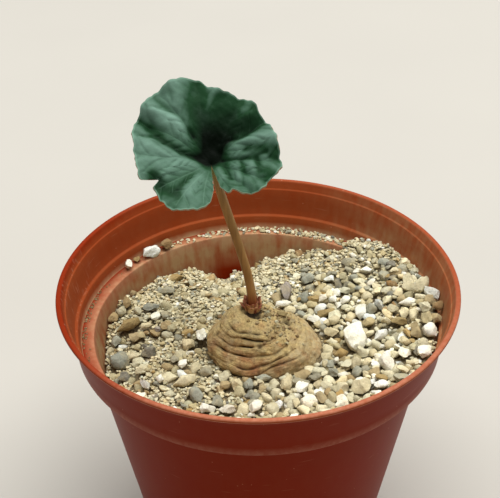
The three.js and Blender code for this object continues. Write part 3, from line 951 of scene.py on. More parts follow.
LARGE_STONES = tuple(Stone(*row) for row in (
    (-40, 24.5, 2.4, 2.2, BROWN), (29.2, -6.5, 6.6, 8.2, WHITE, 12),
    (16.6, 27.6, 5.2, 4.6, BLUE_GREY, -20), (9.1, 22.1, 3.8, 6, VIOLET, 8), (8.1, 14.2, 5.2, 2.8, WHITE),
    (17.9, 16.5, 4.6, 2.6, OCHRE), (14, 12.9, 4, 1.8, CREAM, 15), (21.3, 9.5, 6.2, 3.2, OCHRE, 14),
    (23.8, 7.2, 4.3, 4.3, CREAM), (27.5, 18.4, 4.6, 2.4, CREAM), (27.5, 13.3, 3.6, 3.1, WHITE),
    (30.8, 23.1, 3.7, 2.4, BLUE_GREY), (46.8, 12.8, 4.8, 5.8, CREAM), (50.4, 9.5, 3.6, 6.2, CREAM, -25),
    (46, 4.8, 6.8, 3.2, WHITE, 10), (53.1, 5.9, 3.6, 5.2, WHITE, 38), (40.1, 8.9, 4.6, 2.8, CREAM, 20),
    (37.6, 7.8, 2.6, 3.7, WHITE, 30), (41.1, 2.9, 3.7, 3.1, CREAM), (31.7, 6.1, 3.7, 4.4, WHITE),
    (35, 6.9, 3.8, 4, GREY), (44.3, 0.5, 3.4, 3.1, CREAM), (46.9, -2.1, 3.6, 4.8, CREAM),
    (50.2, -1.2, 4, 3.6, CREAM), (54, -0.6, 3.8, 3.2, BROWN, -30), (53.2, -5.4, 3.4, 4, TAN),
    (50.2, -5.4, 3.6, 4, BEIGE), (42.2, -2.6, 6.2, 2.8, OCHRE, -12), (33.7, -0.2, 4.3, 4, BEIGE),
    (50.6, -9.9, 4.6, 4.4, WHITE), (46.6, -9.4, 3.8, 4.4, TAN), (43, -9.2, 4.4, 2.8, WHITE, 8),
    (24.4, -10.9, 4.6, 3.6, OCHRE, 20), (22.3, -0.9, 4.8, 3.4, CREAM), (36.5, -6.4, 4.6, 3.8, WHITE),
    (37.2, -19.5, 4.8, 5, WHITE), (42.5, -17.8, 4, 3.6, WHITE), (48, -19, 4.4, 3.4, WHITE),
    (28.4, -16.4, 4, 4.6, CREAM), (12.7, -19.2, 5.2, 3.1, TAN), (17.9, -17.8, 4.9, 3.1, CREAM, -20),
    (21.9, -19.4, 3.7, 2.8, GREY), (7.8, -23.4, 3.6, 5.2, CREAM, -10), (12.2, -22.8, 5.2, 2.8, GREY),
    (29.3, -27.7, 6.1, 4.9, CREAM, -15), (23.2, -26.5, 5.6, 3.8, CREAM), (34.9, -29.3, 4.6, 3.2, WHITE),
    (14, -31.6, 5.5, 4.4, WHITE), (23.4, -33.4, 4.6, 3.5, WHITE), (-45.6, 12.4, 3.4, 3.1, TAN),
    (-43.3, 15.3, 3.7, 3.9, CREAM), (-41.6, 18.6, 2.8, 4.4, TAN), (-40.6, 7.8, 8, 4.3, OCHRE),
    (-38, 14.6, 2.8, 2.4, CREAM), (-33.8, 15.4, 5.8, 2.8, GREY), (-32.1, 11, 3.4, 2.4, WHITE, 15),
    (-44.2, 4, 3.8, 4.1, BLUE_GREY), (-38.2, 3.4, 4.3, 2.8, TAN), (-34.8, 7.1, 3.7, 2.4, CREAM),
    (-31.2, 5.4, 2.1, 1.8, VIOLET), (-27, 5, 3.1, 2.8, BEIGE), (-21.4, -0.7, 4.6, 4.4, CREAM, 18),
    (-17.6, 2.2, 3.4, 4, WHITE), (-33.6, -3.4, 4.6, 4, DARK_GREY, 30), (-38.2, -4.4, 4.6, 2.8, CREAM),
    (-42.5, -5.4, 6.6, 5.6, BLUE_GREY), (-40.6, -12.4, 4.3, 2.8, DARK_GREY), (-35.4, -10.7, 4, 3.1, CREAM),
    (-29.7, -15.9, 2.8, 3.1, WHITE), (-33.9, -17.9, 2.4, 4, WHITE, 25), (-22.1, -17.8, 7, 4.6, CREAM, -8),
    (-18.7, -24.9, 5.4, 3.6, BLUE_GREY, -32), (-25.5, -8.2, 2.8, 2.4, GREY),
    (-22.9, -11.4, 2.8, 2.4, WHITE), (-15.8, -15.2, 4.6, 3.4, GREY, -30), (-10.4, -18.9, 3.7, 3.4, CREAM),
    (-10, -22.4, 3.4, 3.4, TAN), (-6.7, -21.6, 4, 4, CREAM), (-3.3, -22.6, 3.4, 3.4, BLUE_GREY),
    (-15.1, -30.5, 4.6, 3.4, WHITE), (-28.6, 6.6, 3.7, 3.2, TAN), (-9.5, -32, 5.5, 2.8, WHITE),
    (-1.2, -32.7, 4.3, 4.2, WHITE), (3.4, -32.7, 4.3, 4, CREAM), (-12.3, -28, 4, 3, BLUE_GREY),
    (-29.3, 26.6, 5.5, 2.6, GREY), (-17.5, 8.6, 3.1, 3, BEIGE),
))


# Larger crumbs on the caudex: place in mm, half-width and tone
CRUMBS = (
    (7.2, -0.8, 1.2, OCHRE), (10.4, -2.0, 0.7, TAN), (5.6, -4.6, 0.6, CREAM), (1.5, -4.6, 0.55, BEIGE),
    (3.4, -2.2, 0.8, OCHRE), (11.5, -8.0, 0.5, BROWN),
)


@dataclass
class ChipForm:
    """One chip's shape, as a closed hull that fills a box of half-size 1."""

    points: Array
    faces: Array


def new_ball(subdivisions: int) -> tuple[Piece, Array]:
    """Add a ball of radius 1 to work on, and give it with its points."""
    deselect()
    bpy.ops.mesh.primitive_ico_sphere_add(subdivisions=subdivisions, radius=1.0)
    ball = bpy.context.object
    return ball, read_points(ball)


def form_of(ball: Piece) -> ChipForm:
    """Take a chip's shape from a ball that was worked on, and throw the ball away."""
    points = read_points(ball)
    middle = (points.max(0) + points.min(0)) / 2.0
    points = (points - middle) / ((points.max(0) - points.min(0)) / 2.0)
    faces = np.array([tuple(polygon.vertices) for polygon in ball.data.polygons])
    bpy.data.objects.remove(ball)
    return ChipForm(points, faces)


def pebble_form(seed: int, subdivisions: int, cuts: int) -> ChipForm:
    """Wear a ball down to a lumpy pebble.

    Args:
        seed: Seed of its draw.
        subdivisions: Fineness of the ball that it starts from.
        cuts: How many flat sides it was broken to before it was worn.

    Returns:
        The pebble's points and triangles.
    """
    ball, points = new_ball(subdivisions)
    random = np.random.default_rng(seed)
    for _ in range(cuts):
        normal = random.normal(size=3)
        normal /= np.linalg.norm(normal)
        over = np.maximum(points @ normal - random.uniform(0.45, 0.82), 0.0)
        points -= 0.94 * over[:, None] * normal
    lumps = 1.0 + 0.12 * rumple(points, 1.1, seed) + 0.04 * rumple(points, 0.38, seed + 1)
    write_points(ball, points * lumps[:, None])
    return form_of(ball)


def chip_form(seed: int, subdivisions: int, kept: int, offset: float) -> ChipForm:
    """Break one sharp chip out of a ball.

    Args:
        seed: Seed of its draw.
        subdivisions: Fineness of the ball that it starts from.
        kept: How many of the ball's points stay.
        offset: How far the points are moved, as a share of the ball's radius.

    Returns:
        The chip's points and triangles.
    """
    ball, points = new_ball(subdivisions)
    random = np.random.default_rng(seed)
    lumps = 1.0 + offset * rumple(points, 1.5, seed) + 0.25 * offset * random.normal(size=len(points))
    write_points(ball, points * lumps[:, None])
    dropped = random.permutation(len(points))[kept:]
    picked = np.zeros(len(points), bool)
    picked[dropped] = True
    with editing(select_all=False):
        bpy.ops.mesh.select_mode(type="VERT")
        bpy.ops.mesh.select_all(action="DESELECT")
    ball.data.vertices.foreach_set("select", picked)
    with editing(select_all=False):
        if len(dropped):
            bpy.ops.mesh.delete(type="VERT")
        bpy.ops.mesh.select_all(action="SELECT")
        bpy.ops.mesh.convex_hull(join_triangles=False)
        bpy.ops.mesh.quads_convert_to_tris()
        bpy.ops.mesh.normals_make_consistent(inside=False)
    return form_of(ball)


def spin(angle: float) -> Array:
    """Give the matrix of a turn about the vertical."""
    c, s = math.cos(angle), math.sin(angle)
    return np.array([[c, -s, 0.0], [s, c, 0.0], [0.0, 0.0, 1.0]])


def turned(turn: float, tilt: float, lean: float) -> Array:
    """Give the matrix of a tilt about a level axis at an angle, after a turn about the vertical."""
    c, s = math.cos(tilt), math.sin(tilt)
    rock = np.array([[1.0, 0.0, 0.0], [0.0, c, -s], [0.0, s, c]])
    axis = spin(lean)
    return axis @ rock @ axis.T @ spin(turn)


def any_turn(random: Random) -> float:
    """Draw a turn in radians."""
    return random.uniform(0, ANY_TURN)


def drawn(random: Random, *spans: tuple[float, float]) -> Array:
    """Draw one number from each span."""
    return np.array([random.uniform(*span) for span in spans])


@dataclass
class Lot:
    """Chips of one grade that end up in one mesh."""

    name: str
    forms: list[ChipForm]
    points: list[Array] = field(default_factory=list)
    faces: list[Array] = field(default_factory=list)
    colours: list[Array] = field(default_factory=list)
    count: int = 0
    vertices: int = 0

    def add(self, middle: Array, half: Array, matrix: Array, colour: Array) -> None:
        """Add one chip.

        Args:
            middle: Its middle in mm.
            half: Its half-sizes in mm, before it is turned.
            matrix: Its turn.
            colour: Its linear colour of four numbers.
        """
        form = self.forms[self.count % len(self.forms)]
        self.points.append((form.points * half) @ matrix.T + middle)
        self.faces.append(form.faces + self.vertices)
        self.colours.append(np.tile(colour, (len(form.points), 1)))
        self.vertices += len(form.points)
        self.count += 1

    def piece(self, sharper_than: float) -> Piece:
        """Make the mesh of all chips."""
        mesh = bpy.data.meshes.new(self.name)
        faces = np.concatenate(self.faces)
        mesh.from_pydata((np.concatenate(self.points) * MM).tolist(), [], faces.tolist())
        made = put(self.name, mesh)
        paint(made, "stone_colour", np.concatenate(self.colours))
        smooth(made, sharper_than)
        log.info("%s: %d chips", self.name, self.count)
        return made


def chip_colour(tone: Tone, random: Random) -> Array:
    """Give a tone's linear colour, a little lighter, darker, warmer or cooler by chance."""
    colour = np.array(linear(tone.value))
    value = random.normal(1.0, 0.09)
    warmth = random.normal(0.0, 0.035)
    colour[:3] *= value * np.array([1.0 + warmth, 1.0, 1.0 - 1.4 * warmth])
    colour[:3] = np.clip(colour[:3], 0.0, 0.93)
    return colour


@dataclass(frozen=True)
class Grade:
    """Chips of one grade: their half-widths in mm, and how many are dropped and may stay."""

    small: float
    large: float
    tries: int
    most: int
    seed: int
    fine: bool = True


@dataclass
class Fill:
    """Mineral grit in the pot: a bed of fines with chips of every size that came to rest on it.

    The chips are dropped one by one on a height map, so that they lie on the bed and on each other.
    """

    wall_depths: Pairs = (
        (-180, 27), (-150, 27), (-120, 24), (-90, 20), (-50, 15), (-14, 11.2), (0, 9),
        (14, 9.8), (39, 10.3), (50, 12), (58, 16.5), (73, 19.8), (85, 24), (95, 29),
        (104, 33), (110, 29), (119, 24), (144, 22.5), (155, 20.5), (168, 22),
    )
    middle_depth: float = 20.0
    bowl_power: float = 2.4
    crevice_x: float = -18.6
    crevice_y: float = -1.4
    crevice_depth: float = 7.5
    cell: float = 0.4
    reach: float = 58.0
    seed: int = 23
    drop_radius: float = 56.5
    pebble_size: float = 1.2
    ledge_from: float = 50.5
    ledge_size: float = 1.1
    ledge_open_to: float = 52.0
    most_overlap: float = 0.2
    ground_percentile: float = 62.0
    sink: float = 0.55
    bed_depth: float = 1.5
    chips: Grade = Grade(0.75, 2.1, 9000, 3700, 31, fine=False)
    coarse_grit: Grade = Grade(0.42, 0.85, 26000, 9000, 32)
    fine_grit: Grade = Grade(0.28, 0.6, 26000, 9500, 33)
    crumb_count: int = 210
    crumb_depth: float = 15.0
    litter_count: int = 140
    banks: Pairs = ((50, 0.0), (56, 0.8), (72, 0.9), (100, 0.55), (118, 0.35), (131, 0.0))
    pot: Pot = field(default_factory=Pot)
    level: Array = field(init=False)
    goal: Array = field(init=False)
    taken: Array = field(init=False)

    def surface(self, x: Array, y: Array) -> Array:
        """Give the height in mm of the fill's surface at each place."""
        wall = around(self.wall_depths, np.degrees(np.arctan2(y, x)))
        share = np.minimum(1.0, np.hypot(x, y) / self.pot.ledge_inner_radius) ** self.bowl_power
        depth = self.middle_depth + share * (wall - self.middle_depth)
        return from_rim(depth + self.crevice_depth * self.crevice(x, y))

    def crevice(self, x: Array, y: Array) -> Array:
        """Give how far each place is into the open crevice left of the caudex, from 0 to 1."""
        across, back = x - self.crevice_x, y - self.crevice_y
        return np.exp(-(((across / 2.3) ** 2 + ((back - 0.4 * across) / 2.1) ** 2) ** 1.5))

    def lay_out(self, caudex_points: Array) -> None:
        """Prepare the height map, the height that the chips fill it to, and the places taken."""
        steps = np.arange(-self.reach, self.reach + self.cell / 2.0, self.cell)
        y, x = np.meshgrid(steps, steps, indexing="ij")
        surface = self.surface(x, y)
        flat = np.column_stack([x.ravel(), y.ravel(), np.zeros(x.size)])
        hills = rumple(flat, 9.0, 4).reshape(x.shape) * 0.45 + rumple(flat, 3.5, 5).reshape(x.shape) * 0.25
        ledge = from_rim(self.pot.ledge_depth)
        is_ledge = np.hypot(x, y) > self.pot.ledge_inner_radius + 0.1
        bank = between(self.banks, np.degrees(np.arctan2(y, x)))
        # A goal below the pot keeps chips off the ledge
        banked = np.where(bank > 0.05, ledge + bank, -1.0)
        self.goal = np.where(is_ledge & (surface <= ledge + 0.4), banked, surface + hills)
        self.level = np.where(is_ledge, np.maximum(ledge, surface - 2.0), surface - 2.0)
        top = np.full(x.shape, -1e3)
        columns, rows = self.cells(caudex_points[:, 0]), self.cells(caudex_points[:, 1])
        np.maximum.at(top, (rows, columns), caudex_points[:, 2])
        shown = top > self.level
        self.taken = (self.crevice(x, y) > 0.35) | shown
        self.level = np.where(shown, top, self.level)

    def cells(self, place: Array | float) -> Array:
        """Give the height map's row or column of a place in mm."""
        count = round(2.0 * self.reach / self.cell)
        return np.clip(np.round((np.asarray(place) + self.reach) / self.cell), 0, count).astype(int)

    def window(self, x: float, y: float, half: Array) -> tuple[tuple[slice, slice], Array]:
        """Look at the height map under a chip.

        Args:
            x: Place of its middle in mm.
            y: Place of its middle in mm.
            half: Its half-sizes in mm.

        Returns:
            The part of the map around it, and the square of how far out each cell is, 1 at its outline.
        """
        low_x, high_x = int(self.cells(x - half[0])), int(self.cells(x + half[0])) + 1
        low_y, high_y = int(self.cells(y - half[1])), int(self.cells(y + half[1])) + 1
        cell_x = np.arange(low_x, high_x) * self.cell - self.reach - x
        cell_y = np.arange(low_y, high_y) * self.cell - self.reach - y
        out = (cell_x[None, :] / half[0]) ** 2 + (cell_y[:, None] / half[1]) ** 2
        return (slice(low_y, high_y), slice(low_x, high_x)), out

    def cover(self, window: tuple[slice, slice], out: Array, height: float, rise: float) -> None:
        """Raise the height map to a chip that lies there, by the height of its middle and its half-height."""
        top = height + rise * np.sqrt(unit(1.0 - out))
        level = self.level[window]
        self.level[window] = np.where(out <= 1.0, np.maximum(level, top), level)

    def settle(self, x: float, y: float, half: Array, matrix: Array, rise: float) -> float | None:
        """Let a chip come to rest on the height map.

        Args:
            x: Place of its middle in mm.
            y: Place of its middle in mm.
            half: Its half-sizes in mm.
            matrix: Its turn.
            rise: How far in mm its top may stand above the height that the chips fill to.

        Returns:
            The height of its middle in mm, or None if it doesn't fit there.
        """
        spread = np.sqrt((matrix * half) ** 2 @ np.ones(3))
        window, out = self.window(x, y, spread)
        under = out <= 1.0
        if not under.any() or self.taken[window][under].mean() > self.most_overlap:
            return None
        ground = np.percentile(self.level[window][under], self.ground_percentile)
        height = ground + self.sink * spread[2]
        if height + spread[2] > self.goal[window][under].mean() + rise:
            return None
        limit = self.pot.inner_radius(np.array([height + 0.2]))[0] - 0.9 * max(spread[0], spread[1])
        if math.hypot(x, y) > limit:
            return None
        self.cover(window, out, height, spread[2])
        return float(height)

    def coarseness(self, x: float, y: float) -> float:
        """Give how coarse the grit is at a place, from 0 at the back left to 1 at the right."""
        right = held((x + 4.0) / 26.0)
        front = held((-y - 6.0) / 20.0) * held((x + 26.0) / 30.0)
        back = held((y - 16.0) / 16.0)
        return held(0.10 + 0.75 * right + 0.45 * front - 0.75 * back)

    def tone_at(self, x: float, y: float, fine: bool, random: Random) -> Tone:
        """Draw a chip's tone for its place and grade."""
        coarse_mix = RIGHT_MIX if random.random() < held((x + 6.0) / 18.0) else LEFT_MIX
        if x > 4.0 and random.random() < 0.55 * held((y - 12.0) / 10.0):
            coarse_mix = BACK_MIX
        mixture = FINE_MIX if fine else coarse_mix
        weights = np.array(list(mixture.values()))
        return list(mixture)[int(random.choice(len(weights), p=weights / weights.sum()))]

    def drop_large(self, lot: Lot, random: Random) -> None:
        """Put the chips that stand out at their own places."""
        for stone in LARGE_STONES:
            half = np.array([stone.wide * 0.48, stone.high * 0.58, stone.high * 0.42])
            turn = math.radians(stone.turn) + random.normal(0.0, 0.08)
            matrix = turned(turn, 0.14, any_turn(random))
            height = float(self.goal[int(self.cells(stone.y)), int(self.cells(stone.x))]) + 0.25 * half[2]
            limit = self.pot.inner_radius(np.array([height]))[0] - 0.85 * max(half[0], half[1])
            pull = min(1.0, limit / max(math.hypot(stone.x, stone.y), 1.0))
            x, y = pull * stone.x, pull * stone.y
            self.cover(*self.window(x, y, half), height, half[2])
            lot.add(np.array([x, y, height]), half, matrix, chip_colour(stone.tone, random))

    def drop_many(self, lot: Lot, grade: Grade, pebbles: Lot | None = None) -> None:
        """Drop chips at random places until enough of them lie still.

        Fine grit lies thickest where the rest isn't coarse, and the larger chips keep off the ledge but
        for its right.

        Args:
            lot: The lot that takes them.
            grade: Their sizes and numbers.
            pebbles: The lot that takes the larger ones instead.
        """
        random = np.random.default_rng(grade.seed)
        for _ in range(grade.tries):
            if lot.count >= grade.most:
                break
            radius = self.drop_radius * math.sqrt(random.random())
            azimuth = random.uniform(0.0, 2.0 * math.pi)
            x, y = radius * math.cos(azimuth), radius * math.sin(azimuth)
            coarse = self.coarseness(x, y)
            draw = random.random() ** (1.0 if grade.fine else 2.6 - 1.5 * coarse)
            size = grade.small + (grade.large - grade.small) * draw
            is_ledge = radius > self.ledge_from and math.degrees(azimuth) > self.ledge_open_to
            if grade.fine:
                stays = random.random() >= 0.65 * coarse
            elif is_ledge and size > self.ledge_size:
                stays = False
            else:
                stays = random.random() <= 0.25 + 0.75 * coarse
            if not stays:
                continue
            half = size * drawn(random, (0.95, 1.3), (0.75, 1.0), (0.5, 0.78))
            matrix = turned(any_turn(random), abs(random.normal(0.0, 0.3)), any_turn(random))
            rise = random.uniform(-0.9, 0.4 - 0.9 * coarse) if grade.fine else (0.6 + 0.5 * coarse) * size
            height = self.settle(x, y, half, matrix, rise)
            if height is not None:
                tone = self.tone_at(x, y, grade.fine, random)
                taker = pebbles if pebbles and size > self.pebble_size else lot
                taker.add(np.array([x, y, height]), half, matrix, chip_colour(tone, random))

    def litter(self, lot: Lot) -> None:
        """Leave crumbs of dirt on the planting ledge, at the left along its outer edge."""
        random = np.random.default_rng(35)
        ledge = from_rim(self.pot.ledge_depth)
        for _ in range(self.litter_count):
            azimuth = math.radians(random.normal(176.0, 11.0))
            radius = random.normal(52.8, 0.5)
            size = random.uniform(0.10, 0.27)
            if radius > self.pot.ledge_outer_radius - size:
                continue
            half = size * np.array([random.uniform(0.9, 1.4), 1.0, 0.7])
            middle = np.array([radius * math.cos(azimuth), radius * math.sin(azimuth), ledge + 0.6 * size])
            tone = (BROWN, TAN, OCHRE)[int(random.integers(3))]
            matrix = turned(any_turn(random), 0.2, 0.0)
            lot.add(middle, half, matrix, chip_colour(tone, random) * 0.6)

    def strew_crumbs(self, lot: Lot, points: Array) -> None:
        """Strew crumbs of grit over the caudex's flat side, thickest next to its crown."""
        random = np.random.default_rng(34)
        x, y, z = points.T
        near = bell(np.hypot(x - 4.5, y + 4.0), 5.0) + 0.9 * bell(np.hypot(x - 8.6, y + 10.6), 2.0)
        is_upper = z > from_rim(self.crumb_depth)
        near = near * is_upper * (np.hypot(x - Crown.x, y - Crown.y) > Crown.reach)
        for pit in Caudex.pits:
            near *= np.hypot(x - pit.x, y - pit.y) > 1.3 * pit.radius
        for spot in random.choice(len(points), size=self.crumb_count, p=near / near.sum()):
            size = 0.15 + 0.45 * random.random() ** 2
            half = size * drawn(random, (0.9, 1.3), (0.7, 1.0), (0.5, 0.9))
            matrix = turned(any_turn(random), random.normal(0.0, 0.4), any_turn(random))
            middle = points[spot] + np.array([0.0, 0.0, 0.3 * size])
            tone = (TAN, BEIGE, OCHRE, BROWN)[int(random.integers(4))]
            lot.add(middle, half, matrix, chip_colour(tone, random) * 0.8)
        upper = points[is_upper]
        for x, y, size, tone in CRUMBS:
            spot = upper[np.hypot(upper[:, 0] - x, upper[:, 1] - y).argmin()]
            half = size * np.array([1.2, 0.9, 0.6])
            matrix = turned(random.uniform(-0.5, 0.5), 0.2, 0.0)
            lot.add(spot + np.array([0.0, 0.0, 0.3 * size]), half, matrix, chip_colour(tone, random) * 0.85)

    def bed(self) -> Piece:
        """Model the bed of fines under the chips, down to the pot's floor."""
        floor = self.pot.foot_recess + self.pot.floor_thickness + 0.3
        ledge = from_rim(self.pot.ledge_depth)

        def place(across: Array, up: Array) -> Array:
            """Lay the grid over the bed's floor and side, and then over its top to the middle."""
            angle = 2.0 * math.pi * across
            edge = self.surface(50.0 * np.cos(angle), 50.0 * np.sin(angle)) - self.bed_depth
            rim = np.minimum(edge, ledge - 0.8)
            side = floor + unit((up - 0.02) / 0.06) * (rim - floor)
            side_radius = (self.pot.inner_radius(side) - 0.5) * unit(up / 0.02)
            reach = np.minimum(49.4, self.pot.inner_radius(rim) - 0.5)
            reach = reach + 4.6 * smoothstep(edge, ledge - 0.2, ledge + 1.2)
            on_top = up > 0.085
            radius = np.where(on_top, reach * (1.0 - (up - 0.085) / 0.915), side_radius)
            x, y = radius * np.cos(angle), radius * np.sin(angle)
            grain = 0.3 * rumple(np.column_stack([x, y, np.zeros_like(x)]), 2.2, 8)
            level = self.surface(x, y) - self.bed_depth + grain
            level = np.where(radius > 49.6, np.maximum(level, ledge + 0.05), level)
            return np.column_stack([x, y, np.where(on_top, level, side)])

        made = mapped_grid("grit_bed", 192, 120, place)
        close_up(made)
        smooth(made)
        return made

    def build(self, caudex_points: Array) -> None:
        """Model and dress the bed and every lot of chips.

        Args:
            caudex_points: Points of the caudex in mm, which the chips lie against.
        """
        self.lay_out(caudex_points)
        large = Lot("large_chips", [pebble_form(200 + index, 3, 12) for index in range(18)])
        pebbles = Lot("pebbles", [pebble_form(240 + index, 2, 8) for index in range(18)])
        chips = Lot("chips", [chip_form(300 + index, 2, 22, 0.22) for index in range(16)])
        grit_forms = [chip_form(400 + index, 1, 12, 0.20) for index in range(12)]
        coarse_grit = Lot("grit_coarse", grit_forms)
        fine_grit = Lot("grit_fine", grit_forms)
        stone = BrokenStone("tumbled_pumice_and_limestone").make()
        self.drop_large(large, np.random.default_rng(self.seed))
        self.drop_many(chips, self.chips, pebbles)
        self.drop_many(coarse_grit, self.coarse_grit)
        self.drop_many(fine_grit, self.fine_grit)
        self.strew_crumbs(fine_grit, caudex_points)
        self.litter(fine_grit)
        bed = self.bed()
        hand_over(bed, StoneDust("crushed_stone_fines").make(), "mineral_grit", "substrate")
        edges = ((large, 42.0), (pebbles, 48.0), (chips, 55.0), (coarse_grit, 35.0), (fine_grit, 35.0))
        for lot, angle in edges:
            piece = lot.piece(angle)
            hand_over(piece, stone, "mineral_grit", "substrate")


# Caudex


@dataclass(frozen=True)
class Fold:
    """One crease of the caudex: its middle, half-widths, and depths on the steep and the flat side.

    The plate is how much further out the crease runs on the flat side. The crease is sharp only over
    its seam, from one angle in degrees to the other, and faint elsewhere. The shifts are how far out of
    its ellipse it runs in mm, each with its angle.
    """

    x: float
    y: float
    rx: float
    ry: float
    depth: float
    right_depth: float
    plate: float
    seam: tuple[float, float]
    faint: float = 0.08
    shifts: Pairs = ((-180, 0.0),)

    def sharpness(self, angle: Array) -> Array:
        """Give how sharp the crease is at each angle, from 0 to 1."""
        middle = math.radians(sum(self.seam) / 2.0)
        reach = math.radians(self.seam[1] - self.seam[0]) / 2.0
        off = np.abs((angle - middle + math.pi) % (2.0 * math.pi) - math.pi)
        return self.faint + (1.0 - self.faint) * (1.0 - smoothstep(off, reach - 0.12, reach + 0.40))


@dataclass(frozen=True)
class Pit:
    """A small hole in the caudex: its place, its radius, and how deep it sinks and how much painted shade
    fills it.
    """

    x: float
    y: float
    depth: float
    radius: float
    dark: float


